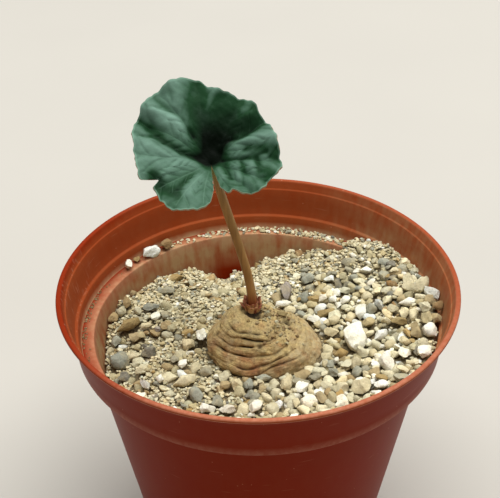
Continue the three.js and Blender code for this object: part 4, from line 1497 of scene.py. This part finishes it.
@dataclass
class Caudex:
    """A squat swollen stem base, folded in rings from its crown down to the grit."""

    folds: tuple[Fold, ...] = (
        Fold(-1.8, 0.2, 3.1, 2.8, 9.4, 9.6, 0, (-180, 180)),
        Fold(
            -1.7, -2.4, 7.8, 7.4, 11.3, 11.1, 0, (-146, -80), 0.1,
            ((-180, -0.2), (-148, -0.4), (-120, 0), (-97, 0.1), (-80, 0.25), (-58, -0.1), (-20, 0)),
        ),
        Fold(
            -1.5, -2.8, 9.6, 8.1, 13.1, 11.8, 0, (-112, -66), 0.25,
            ((-180, 0.1), (-156, -0.15), (-132, -0.25), (-112, -0.45), (-82, 0), (-57, 0.8),
             (-34, 0.25), (0, 0)),
        ),
        Fold(
            -1.4, -3.2, 11.2, 8.9, 14.8, 12.5, 0, (-138, -92), 0.1,
            ((-180, 0.7), (-147, -0.25), (-130, 0), (-104, -0.35), (-84, -0.3), (-55, 0.2),
             (0, 0), (160, 0.2)),
        ),
        Fold(
            -1, -3.5, 13, 10.6, 17, 13.2, -0.6, (-144, -64), 0.15,
            ((-180, 1), (-165, 0.6), (-149, -0.35), (-128, -0.35), (-87, 0.05), (-66, 0.9),
             (-50, 0.6), (0, 0), (150, 0)),
        ),
        Fold(
            -0.7, -3.8, 14.6, 12.9, 19.2, 13.9, -1, (-108, -66), 0.3,
            ((-180, 0), (-160, 0.15), (-129, -0.2), (-107, 0), (-88, -0.1), (-68, 0.55),
             (-50, 1.2), (-24, 0), (20, 0)),
        ),
        Fold(
            -0.3, -4, 14.6, 14, 20.8, 14.9, 0, (-86, -60), 0.3,
            ((-180, 0), (-96, 0), (-78, -0.2), (-59, 0.7), (-42, 1.6), (-24, 0.5),
             (0, -0.1), (18, -0.85), (60, -0.4), (100, 0)),
        ),
        Fold(1.7, -3.6, 16.3, 14.4, 22, 21, 1.4, (-180, 180)),
    )
    pits: tuple[Pit, ...] = tuple(Pit(*row) for row in (
        (-2.6, -2.4, 9.3, 0.9, 1), (-1.4, -2.9, 9.4, 1.2, 1), (0, -3.2, 9.4, 1.1, 1),
        (1.4, -3.4, 9.5, 0.8, 0.9), (8.3, -3.3, 11.9, 1.1, 0.95), (9.1, -4, 12, 0.7, 0.9),
        (14, -1.2, 14.2, 0.5, 0.8), (-12.3, -5.8, 13.6, 0.6, 0.7), (-8.8, -7, 11.6, 0.65, 0.55),
        (-8.2, -14.1, 17.4, 0.6, 0.5), (-14.2, -9.2, 19.3, 0.55, 0.6), (-0.2, -17.8, 19.3, 0.5, 0.7),
        (0.2, -12.5, 13.4, 0.7, 0.85), (8.1, -14.4, 15.1, 0.55, 0.8), (2.8, -6.6, 10.2, 0.5, 0.7),
        (4.4, -7.2, 10.8, 0.55, 0.8), (2.9, -10.1, 12.1, 0.45, 0.6), (10, -12.8, 14.5, 0.45, 0.6),
    ))
    bulge_share: float = 0.34
    bulge_most: float = 0.75
    crown_floor_depth: float = 9.7
    foot_shrink: float = 0.7
    foot_depth: float = 25.5
    rows_a_fold: int = 18
    columns: int = 260
    root_count: int = 5
    root_length: float = 26.0
    root_radius: float = 2.1
    root_tip_radius: float = 0.5
    root_lean: float = 12.0
    base_share: float = 0.03
    flank_share: float = 0.06
    crown_share: float = 0.96
    folds_share: float = 0.90
    map_size: tuple[float, float] = (7.5, 2.6)
    red_spots: tuple[tuple[float, float, float], ...] = (
        (-9.7, -11.4, 2.0), (-5.8, -13.2, 1.6), (-2.1, -16.3, 2.2), (-13.4, -7.6, 2.0), (6.5, -12.2, 1.0),
    )

    def crease_point(self, fold: Fold, angle: Array) -> Array:
        """Give the points of one crease at these angles, in mm."""
        right = smoothstep(np.cos(angle), -0.2, 0.9)
        wobble = 1.0 + 0.012 * np.sin(3 * angle + fold.depth) + 0.006 * np.sin(5 * angle - fold.depth)
        shift = around(fold.shifts, np.degrees(angle))
        out = fold.plate * right + shift
        x = fold.x + (fold.rx * wobble + out) * np.cos(angle)
        y = fold.y + (fold.ry * wobble + out) * np.sin(angle)
        z = from_rim(fold.depth + right * (fold.right_depth - fold.depth) + shift * (0.9 - 0.5 * right))
        return np.column_stack([x, y, z])

    def skin(self, across: Array, up: Array) -> tuple[Array, Array]:
        """Lay the grid over the folds, from the buried foot at 0 to the crown's floor at 1.

        Returns:
            The points in mm, and how much painted shade each one takes in a crease or a pit, from 0 to 1.
        """
        angle = 2.0 * math.pi * across
        count = len(self.folds) - 1
        reach = (up - self.flank_share) / self.folds_share * count
        index = np.clip(np.floor(reach).astype(int), 0, count - 1)
        share = 1.0 - unit(reach - index)
        points = np.zeros((len(up), 3))
        crease = np.zeros(len(up))
        for number in range(count):
            inner, outer = self.folds[count - number - 1], self.folds[count - number]
            rolled, dark = self.roll(inner, outer, share, angle)
            points = np.where((index == number)[:, None], rolled, points)
            crease = np.where(index == number, dark, crease)
        outermost, innermost = self.folds[-1], self.folds[0]
        edge = self.crease_point(outermost, angle)
        crown = self.crease_point(innermost, angle)
        middle = np.array([outermost.x, outermost.y, 0.0])
        foot = middle + (edge - middle) * np.array([self.foot_shrink, self.foot_shrink, 0.0])
        foot[:, 2] = from_rim(self.foot_depth)
        flank = foot + unit((up - self.base_share) / self.base_share)[:, None] * (edge - foot)
        centre = middle + np.array([0.0, 0.0, from_rim(self.foot_depth)])
        base = centre + unit(up / self.base_share)[:, None] * (foot - centre)
        points = np.where((up < self.flank_share)[:, None], flank, points)
        points = np.where((up < self.base_share)[:, None], base, points)
        floor = np.array([innermost.x, innermost.y, from_rim(self.crown_floor_depth)])
        inward = unit((up - self.crown_share) / 0.04)[:, None]
        points = np.where((up > self.crown_share)[:, None], crown + inward * (floor - crown), points)
        seen = (smoothstep(up, 0.05, 0.15) * smoothstep(1.0 - up, 0.02, 0.12))[:, None]
        drift = np.column_stack([rumple(points, 8.0, seed) for seed in (63, 64, 65)])
        points = points + seen * drift * np.array([0.35, 0.35, 0.25])
        # Each pit sinks in and is filled with painted shade
        for pit in self.pits:
            away = np.linalg.norm((points - [pit.x, pit.y, from_rim(pit.depth)]) * [1.0, 1.0, 0.5], axis=1)
            hole = pit.dark * bell(away, pit.radius)
            points[:, 2] -= 0.9 * pit.radius * hole
            crease = np.maximum(crease, hole)
        return points, crease

    def place(self, across: Array, up: Array) -> Array:
        """Give the skin's points in mm."""
        return self.skin(across, up)[0]

    def roll(self, inner: Fold, outer: Fold, share: Array, angle: Array) -> tuple[Array, Array]:
        """Bulge a fold out between its two creases.

        Args:
            inner: Its inner crease.
            outer: Its outer crease.
            share: Place from the inner crease at 0 to the outer at 1.
            angle: Angle of each point.

        Returns:
            The fold's points in mm, and how much painted shade each one takes in the creases.
        """
        start = self.crease_point(inner, angle)
        chord = self.crease_point(outer, angle) - start
        length = np.linalg.norm(chord, axis=1)
        run = np.hypot(chord[:, 0], chord[:, 1])
        square = np.column_stack([-chord[:, 2] * np.cos(angle), -chord[:, 2] * np.sin(angle), run])
        square /= np.maximum(np.linalg.norm(square, axis=1), 1e-9)[:, None]
        right = smoothstep(np.cos(angle), -0.2, 0.9)
        sharp = np.where(share < 0.5, inner.sharpness(angle), outer.sharpness(angle))
        dip = 1.0 - np.sin(math.pi * share) ** 0.55
        fullness = np.minimum(self.bulge_most, self.bulge_share * length) * (1.0 - 0.45 * right)
        height = fullness * (1.0 - (0.2 + 0.8 * sharp) * dip)
        near = np.minimum(share, 1.0 - share) * length
        points = start + share[:, None] * chord
        patchy = np.clip(0.62 + 0.6 * rumple(points, 3.4, 68), 0.15, 1.0)
        height -= 0.55 * sharp * patchy * bell(near, 0.34)
        height += 0.14 * rumple(points, 2.6, 60) + (0.07 + 0.05 * right) * rumple(points, 1.0, 61)
        # Painted shade: nearly black along the crease, with a softer band beside it
        dark = patchy * bell(near, 0.22) + 0.16 * bell(near, 0.7)
        return points + height[:, None] * square, unit(sharp * dark)

    def marks(self, across: Array, up: Array) -> dict[str, Array]:
        """Give how much painted shade from creases and pits, how dusty and how red each point is."""
        points, crease = self.skin(across, up)
        x, y, z = points.T
        right = smoothstep(x + 0.35 * y, 0.0, 9.0)
        outer = smoothstep(np.hypot(x - 0.3, y + 4.0), 13.0, 15.0) * smoothstep(x, -3.0, 6.0)
        low = smoothstep(from_rim(z), 13.0, 19.0)
        left = smoothstep(-x, 4.0, 12.0)
        dust = 0.14 + 0.40 * right + 0.35 * outer + 0.12 * left + 0.25 * rumple(points, 3.0, 66)
        warm = sum(
            bell(np.hypot(x - spot_x, y - spot_y), reach) for spot_x, spot_y, reach in self.red_spots
        )
        red = 0.06 + 0.40 * low * (1.0 - left) + 0.50 * warm + 0.22 * rumple(points, 4.0, 67)
        return {
            "crease": np.clip(crease, 0.0, 0.96),
            "dust": unit(dust * (1.0 - 0.8 * crease)),
            "redness": unit(red),
        }

    def map_skin(self, piece: Piece) -> None:
        """Give the skin a map that runs around the folds, with 10 mm to its unit."""
        layer = piece.data.uv_layers.active or piece.data.uv_layers.new()
        layer.name = "skin"
        flat = np.empty(len(layer.uv) * 2)
        layer.uv.foreach_get("vector", flat)
        flat = flat.reshape(-1, 2) * np.array(self.map_size)
        layer.uv.foreach_set("vector", flat.ravel())

    def root(self, index: int) -> Piece:
        """Model one stout root under the fill."""
        angle = 2.0 * math.pi * (index + 0.3) / self.root_count
        edge = self.folds[-1]
        start = np.array([edge.x + 7.0 * math.cos(angle), edge.y + 7.0 * math.sin(angle), from_rim(24.0)])
        lean = math.radians(self.root_lean)
        run = np.array([math.sin(lean) * math.cos(angle), math.sin(lean) * math.sin(angle), -math.cos(lean)])

        def place(across: Array, up: Array) -> Array:
            """Lay the grid round the root, thinner towards its tip."""
            turn = 2.0 * math.pi * across
            thick = self.root_radius + up * (self.root_tip_radius - self.root_radius)
            thick = thick + 0.1 * np.sin(9.0 * up + 2.0 * turn)
            middle = start + (self.root_length * up)[:, None] * run
            return middle + thick[:, None] * round_about(turn)

        made = mapped_grid(f"root_{index}", 14, 12, place)
        # The buried roots take a flat share of painted crease shade, dust and redness
        for name in ("crease", "dust", "redness"):
            paint(made, name, np.full(len(made.data.vertices), 0.3))
        self.map_skin(made)
        return made

    def build(self) -> Array:
        """Model and dress the caudex.

        Returns:
            Points of its surface in mm, for the grit to lie against.
        """
        rows = round(self.rows_a_fold * (len(self.folds) - 1) / self.folds_share)
        body = mapped_grid("caudex_body", self.columns, rows, self.place, self.marks)
        self.map_skin(body)
        points = read_points(body) / MM
        roots = [self.root(index) for index in range(self.root_count)]
        body = join([body, *roots], "caudex_body")
        close_up(body)
        smooth(body)
        hand_over(body, TuberSkin("corky_caudex_skin").make(), "tuber_skin", "caudex")
        return points


# Leaf


@dataclass
class Stalk:
    """A thin round leaf stalk that leans back to the left, thinner where it meets the blade."""

    course: Pairs = (
        (-1.8, 13.4), (-1.8, 7.3), (-2.4, 0.0), (-4.3, -8.6), (-7.3, -20.4), (-10.6, -33.0), (-12.75, -40.9),
    )
    y: float = 1.0
    radius: float = 1.35
    foot_radius: float = 1.5
    tip_radius: float = 0.75

    def middle(self, share: Array) -> Array:
        """Give points of the stalk's middle line in mm, from its foot at 0 to its tip at 1."""
        x, depth = np.array(self.course).T
        heights = from_rim(depth)
        height = heights[0] + share * (heights[-1] - heights[0])
        curve = np.polyfit(heights - heights[0], x, 4)
        return np.column_stack([np.polyval(curve, height - heights[0]), np.full_like(height, self.y), height])

    def place(self, across: Array, up: Array) -> Array:
        """Lay the grid round the stalk."""
        angle = 2.0 * math.pi * across
        taper = smoothstep(up, 0.78, 0.985)
        swell = 1.0 - smoothstep(up, 0.0, 0.25)
        thick = self.radius + swell * (self.foot_radius - self.radius)
        thick = thick + taper * (self.tip_radius - thick)
        uneven = 1.0 + 0.02 * np.sin(5.0 * angle) + 0.012 * np.sin(23.0 * up) * np.sin(angle + 3.0 * up)
        return self.middle(up) + (thick * uneven)[:, None] * round_about(angle)

    def build(self) -> None:
        """Model and dress the stalk."""
        stem = mapped_grid("leaf_stalk_skin", 28, 96, self.place)
        close_up(stem)
        height = read_points(stem)[:, 2] / MM
        paint(stem, "foot", 1.0 - smoothstep(height, 86.5, 94.0))
        paint(stem, "tip", smoothstep(height, 130.0, 136.0))
        smooth(stem, 60.0)
        hand_over(stem, StalkSkin("living_stalk_skin").make(), "stalk_skin", "leaf_stalk")


@dataclass
class Crown:
    """Dried scales, the bases of earlier leaf stalks, packed round the foot of the stalk."""

    x: float = -1.8
    y: float = 1.0
    reach: float = 2.9
    floor_depth: float = 9.5
    count: int = 19
    length: float = 4.5
    width: float = 3.0
    thickness: float = 0.28
    spiral_step: float = 137.5

    def scale(self, index: int) -> Piece:
        """Model one cupped, pointed scale."""
        random = np.random.default_rng(70 + index)
        ring = index / self.count
        angle = index * math.radians(self.spiral_step)
        lean = math.radians(-2.0 + 20.0 * ring + random.uniform(-4.0, 10.0))
        length = self.length * random.uniform(0.7, 1.1) * (1.0 - 0.45 * ring)
        width = self.width * random.uniform(0.6, 1.15)
        foot = 1.5 + 1.2 * ring
        redder = random.uniform(-0.5, 0.35)

        def place(across: Array, up: Array) -> Array:
            """Lay the grid over the scale, cupped towards the stalk and curled out at its tip."""
            side = (across - 0.5) * 2.0
            torn = 1.0 + 0.3 * up * np.sin(9.0 * up + 2.1 * index + 2.0 * side)
            wide = width / 2.0 * torn * np.sqrt(unit(1.0 - up**2.2)) * (0.75 + 0.5 * up * (1.0 - up))
            bend = lean * (0.3 + 1.1 * up)
            out = foot + length * up * np.sin(bend) - 0.35 * side**2 * wide
            rise = length * up * np.cos(bend) - 0.3
            x = out * math.cos(angle) - side * wide * math.sin(angle)
            y = out * math.sin(angle) + side * wide * math.cos(angle)
            base = from_rim(self.floor_depth) + 0.3 - 0.4 * ring
            return np.column_stack([self.x + x, self.y + y, base + rise])

        def marks(across: Array, up: Array) -> dict[str, Array]:
            """Give how near the scale's dark edge each point is."""
            return {"edge": np.clip(redder + np.maximum(np.abs(2.0 * across - 1.0) ** 3, up**2), 0.0, 1.2)}

        made = mapped_grid(f"scale_{index}", 8, 10, place, marks)
        close_up(made, fill=False)
        apply_modifier(made, "SOLIDIFY", thickness=self.thickness * MM, offset=0.0)
        return made

    def build(self) -> None:
        """Model and dress the crown."""
        crown = join([self.scale(index) for index in range(self.count)], "crown_scales_dry")
        pick(crown)
        with editing():
            bpy.ops.mesh.normals_make_consistent(inside=False)
        smooth(crown, 50.0)
        hand_over(crown, DriedScale("dried_leaf_base").make(), "dried_scale", "crown_scales")


@dataclass(frozen=True)
class Swell:
    """A long soft bulge or valley of the blade.

    It runs through places in mm across and up from the attachment. The rise is its height in mm, and
    the tone is a painted highlight along it, or a painted shade where it is negative.
    """

    course: Pairs
    width: float
    rise: float
    tone: float

    def at(self, x: Array, y: Array) -> Array:
        """Give how near each place is to its course, from 0 far off to 1."""
        nearest = np.full(len(x), np.inf)
        for (x0, y0), (x1, y1) in zip(self.course, self.course[1:]):
            run_x, run_y = x1 - x0, y1 - y0
            share = unit(((x - x0) * run_x + (y - y0) * run_y) / (run_x**2 + run_y**2))
            nearest = np.minimum(nearest, np.hypot(x - x0 - share * run_x, y - y0 - share * run_y))
        return bell(nearest, self.width)


SWELLS = tuple(Swell(*row) for row in (
    # The funnel over the attachment, darkened with painted shade, and the notch at the top
    (((0, 2), (-2, 9), (-4, 17), (-4.5, 22)), 3.8, -0.5, -0.75),
    (((0.5, 2), (2.5, 9), (3.5, 17)), 3.2, -0.3, -0.65), (((1.5, 4), (5, 10), (8.5, 17)), 2, -0.5, -0.6),
    (((-4.2, 22.5), (-4.4, 20)), 1.2, -0.4, -0.3),
    # Valleys on the left, from the lowest up, darkened with painted shade
    (((-2, 0.8), (-8, 1.8), (-13, 4.5), (-17, 8.5)), 1.5, -0.8, -0.75),
    (((-17, 8.5), (-20, 11), (-23, 13)), 1, -0.5, -0.45),
    (((-5, 7), (-8, 11.5), (-13, 15), (-16.5, 19)), 1, -0.5, -0.5),
    (((-19.5, 15.5), (-17.5, 14), (-14, 14.2)), 0.6, -0.3, -0.35),
    (((-23, 7.5), (-18.5, 5.2), (-14.5, 5.8)), 0.8, -0.3, -0.3),
    (((-15.5, -6), (-14.5, -8.5)), 1.8, -0.5, -0.9),
    (((-14.5, -7.5), (-13, -10), (-9, -12)), 1.6, -0.3, -0.6),
    (((-3.5, -3.5), (-9, -10)), 1.2, -0.4, -0.5),
    # Valleys on the right, darkened with painted shade, two of them with no dip at all
    (((13, 14.5), (15.2, 13.2)), 1.7, -0.6, -0.85), (((3.5, 6.5), (11, 10)), 3, 0.1, -0.85),
    (((11, 10), (16.5, 10.5)), 2.4, 0, -0.5),
    (((3, 5.3), (9, 5.6), (12.5, 8), (15.5, 10.5)), 0.6, -0.3, -0.3),
    (((10.5, 2.4), (16, 2), (19.5, 0.8)), 1.5, -0.5, -0.6),
    (((3.5, 0.2), (11, -0.4), (15.5, 0.8)), 0.7, -0.4, -0.4), (((4, -1.5), (5.6, -6.5)), 0.8, -0.3, -0.35),
    (((8.5, -1.5), (9.6, -5.5)), 0.7, -0.3, -0.35), (((12.8, -1), (13.6, -5)), 0.9, -0.4, -0.5),
    (((15.5, -5), (17.5, -7.5)), 1.4, -0.2, -0.45), (((17, -0.8), (20.5, -2)), 0.9, -0.3, -0.45),
    # Bulges, lightened with painted highlights
    (((-22, 14.8), (-14, 12.8), (-7.5, 10)), 1.6, 0.6, 0.6),
    (((-15, 19), (-10.5, 15.5), (-9, 12.5)), 1.8, 0.3, 0.3), (((-11, 22), (-4.5, 23.8)), 2.4, 0.3, 0.5),
    (((-8.5, 18), (-6, 20.5)), 1.3, 0.2, 0.25), (((-13.5, 11), (-8, 8.5)), 1.6, 0.2, 0.25),
    (((1, 20), (-1, 14.5)), 0.9, 0.3, 0.25), (((0.5, 21.6), (6, 20.6), (12, 18.4)), 1.5, 0.2, 0.65),
    (((7.5, 15.5), (10.5, 12.5)), 1.4, 0.2, 0.15), (((4, 4), (11, 4.8), (18.5, 4.6)), 1.5, 0.6, 0.32),
    (((14.5, 8), (18.6, 7.6)), 1.1, 0.3, 0.12), (((-21, 3.5), (-12, 1), (-5, -1.2)), 2, 0.4, 0.4),
    (((-20.5, -1.5), (-15, -1.5)), 1.6, 0.2, 0.2), (((-3, -3.5), (-6.5, -11.5)), 1.6, 0.4, 0.5),
    (((-10, -3), (-12.5, -6)), 1.6, 0.3, 0.25), (((2, -2), (3.2, -6)), 0.9, 0.3, 0.35),
    (((7, -2.5), (7.6, -6.5)), 0.9, 0.3, 0.35), (((11.2, -2.5), (11.8, -6.5)), 0.9, 0.3, 0.3),
))


@dataclass
class Blade:
    """A round waved blade with a narrow cleft at its stalk, tilted towards the viewer."""

    attach: tuple[float, float, float] = (-12.75, 1.0, -41.2)
    axis_elevation: float = 58.0
    funnel_rise: float = 9.0
    funnel_reach: float = 14.0
    wave_power: float = 3.2
    thickness: float = 0.5
    columns: int = 420
    rings: int = 72
    margin: Pairs = (
        (-74, 9.5), (-69, 12), (-64, 12.8), (-60, 12.2), (-54, 14.8), (-42, 17.4), (-36, 18.4), (-30, 17.9),
        (-13, 20.4), (-4, 19.3), (19, 18.8), (42, 18.6), (54, 20.3), (66, 19.2), (80, 19.9), (92, 21.4),
        (98, 24.1), (106, 25), (129, 24.7), (146, 23.6), (161, 22.9), (172, 21.3), (190, 20.5), (202, 20.8),
        (203.5, 20), (205, 15.2), (207, 16.5), (210, 18.1), (225, 19.2), (240, 19.8), (252, 18.3),
        (264, 16.6), (270, 14.4), (275, 10),
    )
    waves: Pairs = (
        (-74, 0.2), (-57, 0.9), (-46, -0.6), (-38, 0.7), (-30, -0.5), (-19, 0.8), (-6, -1.3), (8, 1.3),
        (21, 0.8), (35, -1.5), (49, 1.2), (58, -0.6), (77, 0.9), (100, -1.5), (117, 1.3), (127, -1.2),
        (140, 1.4), (150, -1.5), (167, 0.9), (180, 0.2), (193, 0.9), (215, -1.4), (232, -0.8), (250, 1.2),
        (275, 0.2),
    )
    # How strong the painted shade over the funnel is, by distance in mm from the attachment
    funnel_shade_fade: Pairs = ((7, 1.0), (13, 0.72), (19, 0.3))
    vein_pitch: float = 0.34
    vein_bend: float = 0.84
    side_vein_width: float = 0.2
    main_veins: tuple[float, ...] = (-62, -30, -6, 35, 62, 100, 127, 150, 180, 215, 240, 262)

    def margin_at(self, degrees: Array) -> Array:
        """Give the margin's radius in mm at each angle, rounded a little at its corners."""
        places, radii = np.array(self.margin, float).T
        fine = np.arange(places[0] - 4.0, places[-1] + 4.0, 0.25)
        raw = np.interp(fine, places, radii)
        kernel = bell(np.arange(-12, 13), 4.0)
        soft = np.convolve(np.pad(raw, 12, mode="edge"), kernel / kernel.sum(), mode="valid")
        crenate = 0.12 * np.sin(np.radians(fine) * 31.0) + 0.08 * np.sin(np.radians(fine) * 53.0 + 1.0)
        return np.interp(degrees, fine, soft + crenate)

    def flat(self, degrees: Array, share: Array) -> tuple[Array, Array, Array]:
        """Give each point's distance from the attachment, and its place across and up the flat blade."""
        radius = self.margin_at(degrees) * share
        angle = np.radians(degrees)
        return radius, radius * np.cos(angle), radius * np.sin(angle)

    def place(self, degrees: Array, share: Array) -> Array:
        """Give points of the blade's middle sheet in mm.

        Args:
            degrees: Angle of each point round the attachment.
            share: Share of the way from the attachment to the margin.

        Returns:
            The points, one row each.
        """
        radius, flat_x, flat_y = self.flat(degrees, share)
        funnel = self.funnel_rise * (1.0 - np.exp(-radius / self.funnel_reach))
        wave = between(self.waves, degrees) * share**self.wave_power
        flat = np.column_stack([flat_x, flat_y, np.zeros_like(radius)])
        quilt = 0.10 * rumple(flat, 3.4, 90) + 0.035 * rumple(flat, 1.5, 91)
        swell = sum(swell.rise * swell.at(flat_x, flat_y) for swell in SWELLS)
        settled = smoothstep(radius, 0.5, 5.0)
        line, pillow = self.veins_at(degrees, radius, share)
        height = funnel + wave - 0.10 * line + 0.24 * pillow + settled * (quilt + swell)
        tilt = math.radians(self.axis_elevation)
        axis = np.array([0.0, -math.cos(tilt), math.sin(tilt)])
        up = np.array([0.0, math.sin(tilt), math.cos(tilt)])
        x, y, depth = self.attach
        middle = np.array([x, y, from_rim(depth)])
        across = flat_x[:, None] * np.array([1.0, 0.0, 0.0]) + flat_y[:, None] * up
        return middle + across + height[:, None] * axis

    def veins_at(self, degrees: Array, radius: Array, share: Array) -> tuple[Array, Array]:
        """Give how much of a vein each point is, and how far it swells up between veins, from 0 to 1.

        The main veins run out from the attachment, and side veins leave them at 40 degrees and bend
        towards the margin.
        """
        veins = np.array(self.main_veins, float)
        turn = np.radians(degrees[:, None] - veins[None, :])
        nearest = np.abs(turn).argmin(axis=1)
        off = turn[np.arange(len(degrees)), nearest]
        bow = 0.03 * np.sin(radius / 4.0 + nearest * 1.7)
        gap = np.abs(off + bow) * radius
        main = bell(gap, 0.42 - 0.26 * share) * smoothstep(1.0 - share, 0.03, 0.14)
        spiral = np.log(np.maximum(radius, 1.0)) - np.abs(off + bow) / self.vein_bend
        phase = spiral / self.vein_pitch + 0.37 * nearest + np.where(off > 0.0, 0.5, 0.0)
        phase = phase + 0.18 * np.sin(radius / 2.3 + 2.0 * nearest)
        side_gap = np.abs(phase - np.round(phase)) * self.vein_pitch * radius * 0.64
        side = 0.5 * bell(side_gap, self.side_vein_width) * smoothstep(radius, 3.0, 7.0)
        side *= smoothstep(1.0 - share, 0.02, 0.12)
        pillow = smoothstep(np.minimum(gap / 1.5, side_gap / 0.9), 0.0, 1.0)
        x, y = radius * np.cos(np.radians(degrees)), radius * np.sin(np.radians(degrees))
        calm = 1.0 - 0.85 * np.maximum.reduce([swell.at(x, y) for swell in SWELLS[:3]])
        return calm * np.maximum(main, side), calm * pillow * smoothstep(radius, 3.0, 8.0)

    def marks(self, degrees: Array, share: Array) -> dict[str, Array]:
        """Give how much vein, painted highlight and painted shade each point has."""
        radius, x, y = self.flat(degrees, share)
        # Painted highlight along the bulges and on the waves' crests, and painted shade along the valleys and
        # in the waves' troughs
        tone = sum(swell.tone * swell.at(x, y) for swell in SWELLS)
        tone = tone + 0.10 * between(self.waves, degrees) * share**2
        # The lobes either side of the cleft: the left one shows paler veins, and both take painted shade
        basal_left = smoothstep(degrees, 196.0, 215.0)
        basal_right = 1.0 - smoothstep(degrees, -22.0, -2.0)
        line, pillow = self.veins_at(degrees, radius, share)
        line = line * smoothstep(share, 0.1, 0.45) * (0.03 + 0.13 * basal_left)
        # Painted highlight on the pillows between the veins, and painted shade over the funnel that fades
        # outwards
        return {
            "vein": np.maximum(line, 0.34 * smoothstep(share, 0.972, 0.992)),
            "bloom": unit(0.33 + 0.15 * pillow + 0.8 * tone - 0.22 * basal_right - 0.13 * basal_left),
            "core": unit(-1.3 * tone - 0.15) * between(self.funnel_shade_fade, radius),
        }

    def build(self) -> None:
        """Model and dress the blade."""
        low, high = self.margin[0][0], self.margin[-1][0]
        made = mapped_grid(
            "leaf_blade_skin",
            self.rings,
            self.columns,
            lambda across, up: self.place(low + up * (high - low), across),
            lambda across, up: self.marks(low + up * (high - low), across),
        )
        close_up(made, fill=False)
        for finish in (
            LeafSkin("waxy_leaf_upper_face"),
            LeafSkin("dull_leaf_lower_face", "#7b9077", "#5c7460", "#6a7c58", "#a9b795"),
            LeafEdge("dry_leaf_margin"),
        ):
            made.data.materials.append(finish.make())
        offsets = {"offset": 0.0, "material_offset": 1, "material_offset_rim": 2}
        apply_modifier(made, "SOLIDIFY", thickness=self.thickness * MM, **offsets)
        smooth(made, 70.0)
        hand_over(made, None, "leaf_skin", "leaf_blade")


# Stray stones


@dataclass(frozen=True)
class StrayStone:
    """A stone on the ledge: its node, its angle round the pot, its half-sizes in mm and its tone."""

    node: str
    azimuth: float
    long: float
    wide: float
    high: float
    tone: Tone


STRAY_STONES = tuple(StrayStone(*row) for row in (
    ("ledge_pebble_1", 132.5, 3.4, 1.95, 1.8, WHITE), ("ledge_pebble_2", 143.3, 1.75, 1.6, 1.6, WHITE),
    ("ledge_pebble_3", 125.4, 2.1, 1.85, 1.7, BROWN), ("ledge_pebble_4", 138.3, 1.2, 1.15, 0.95, OCHRE),
))


@dataclass
class LedgeStones:
    """Four stones that lie on the planting ledge at the back left."""

    outer_limit: float = 53.4
    ledge_height: float = from_rim(Pot.ledge_depth)

    def build(self) -> None:
        """Model and dress the stones."""
        limestone = BrokenStone("broken_limestone", freckle=0.3, grain=0.7).make()
        random = np.random.default_rng(5)
        for index, stray in enumerate(STRAY_STONES):
            lot = Lot(f"stray_stone_{index + 1}", [pebble_form(510 + index, 4, 12)])
            angle = math.radians(stray.azimuth)
            half = np.array([stray.wide, stray.long, stray.high])
            radius = self.outer_limit - stray.wide
            height = self.ledge_height + stray.high + 0.02
            middle = np.array([radius * math.cos(angle), radius * math.sin(angle), height])
            lot.add(middle, half, turned(angle, 0.0, 0.0), chip_colour(stray.tone, random))
            piece = lot.piece(60.0)
            hand_over(piece, limestone, "pale_stone", stray.node)


# Studio


@dataclass
class Studio:
    """A plain pale floor, soft light from above, and the camera.

    Places and sizes are in metres here, but for the gap under the pot, which is in mm, and the lens.
    """

    camera_place: tuple[float, float, float] = (-0.002183, -0.313361, 0.327187)
    camera_pitch: float = 34.985
    camera_roll: float = -0.906
    lens: float = 94.224
    floor_size: float = 12.0
    floor_gap: float = 0.05
    light_place: tuple[float, float, float] = (0.25, 0.30, 2.2)
    light_size: float = 2.6
    light_power: float = 108.0
    aim_height: float = 0.09
    air: str = "#eeeeec"
    air_strength: float = 0.30

    def lay_floor(self) -> None:
        """Lay the floor under the pot."""
        deselect()
        bpy.ops.mesh.primitive_plane_add(size=self.floor_size, location=(0.0, 0.0, -self.floor_gap * MM))
        floor = bpy.context.object
        floor.name = "studio_floor"
        floor.data.materials.append(StudioPaper("studio_paper").make())

    def light(self) -> None:
        """Fill the air with faint light and hang one square soft light that faces the pot."""
        world = bpy.data.worlds.new("studio_air")
        world.use_nodes = True
        air = world.node_tree.nodes["Background"]
        air.inputs["Color"].default_value = linear(self.air)
        air.inputs["Strength"].default_value = self.air_strength
        bpy.context.scene.world = world
        data = bpy.data.lights.new("overhead_softbox", "AREA")
        data.shape = "SQUARE"
        data.size = self.light_size
        data.energy = self.light_power
        lamp = put("overhead_softbox", data)
        x, y, z = self.light_place
        lamp.location = self.light_place
        lamp.rotation_euler = (math.atan2(math.hypot(x, y), z - self.aim_height), 0.0, math.atan2(x, -y))
        bpy.context.scene.view_settings.view_transform = "Standard"

    def aim_camera(self) -> None:
        """Set up the camera at the picture's viewing angle."""
        data = bpy.data.cameras.new("picture_camera")
        data.lens = self.lens
        data.sensor_width = 36.0
        data.sensor_fit = "HORIZONTAL"
        camera = put("picture_camera", data)
        tip = Matrix.Rotation(math.radians(90.0 - self.camera_pitch), 4, "X")
        roll = Matrix.Rotation(math.radians(self.camera_roll), 4, "Z")
        camera.matrix_world = Matrix.Translation(self.camera_place) @ tip @ roll
        bpy.context.scene.camera = camera

    def build(self) -> None:
        """Set up the whole studio."""
        self.aim_camera()
        self.lay_floor()
        self.light()


def main() -> None:
    """Build and dress every piece, in order."""
    logging.basicConfig(level=logging.INFO, format="%(name)s: %(message)s")
    Studio().build()
    fill = Fill()
    Pot().build(fill)
    caudex_points = Caudex().build()
    Crown().build()
    Stalk().build()
    Blade().build()
    LedgeStones().build()
    fill.build(caudex_points)
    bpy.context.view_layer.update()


if __name__ == "__main__":
    main()
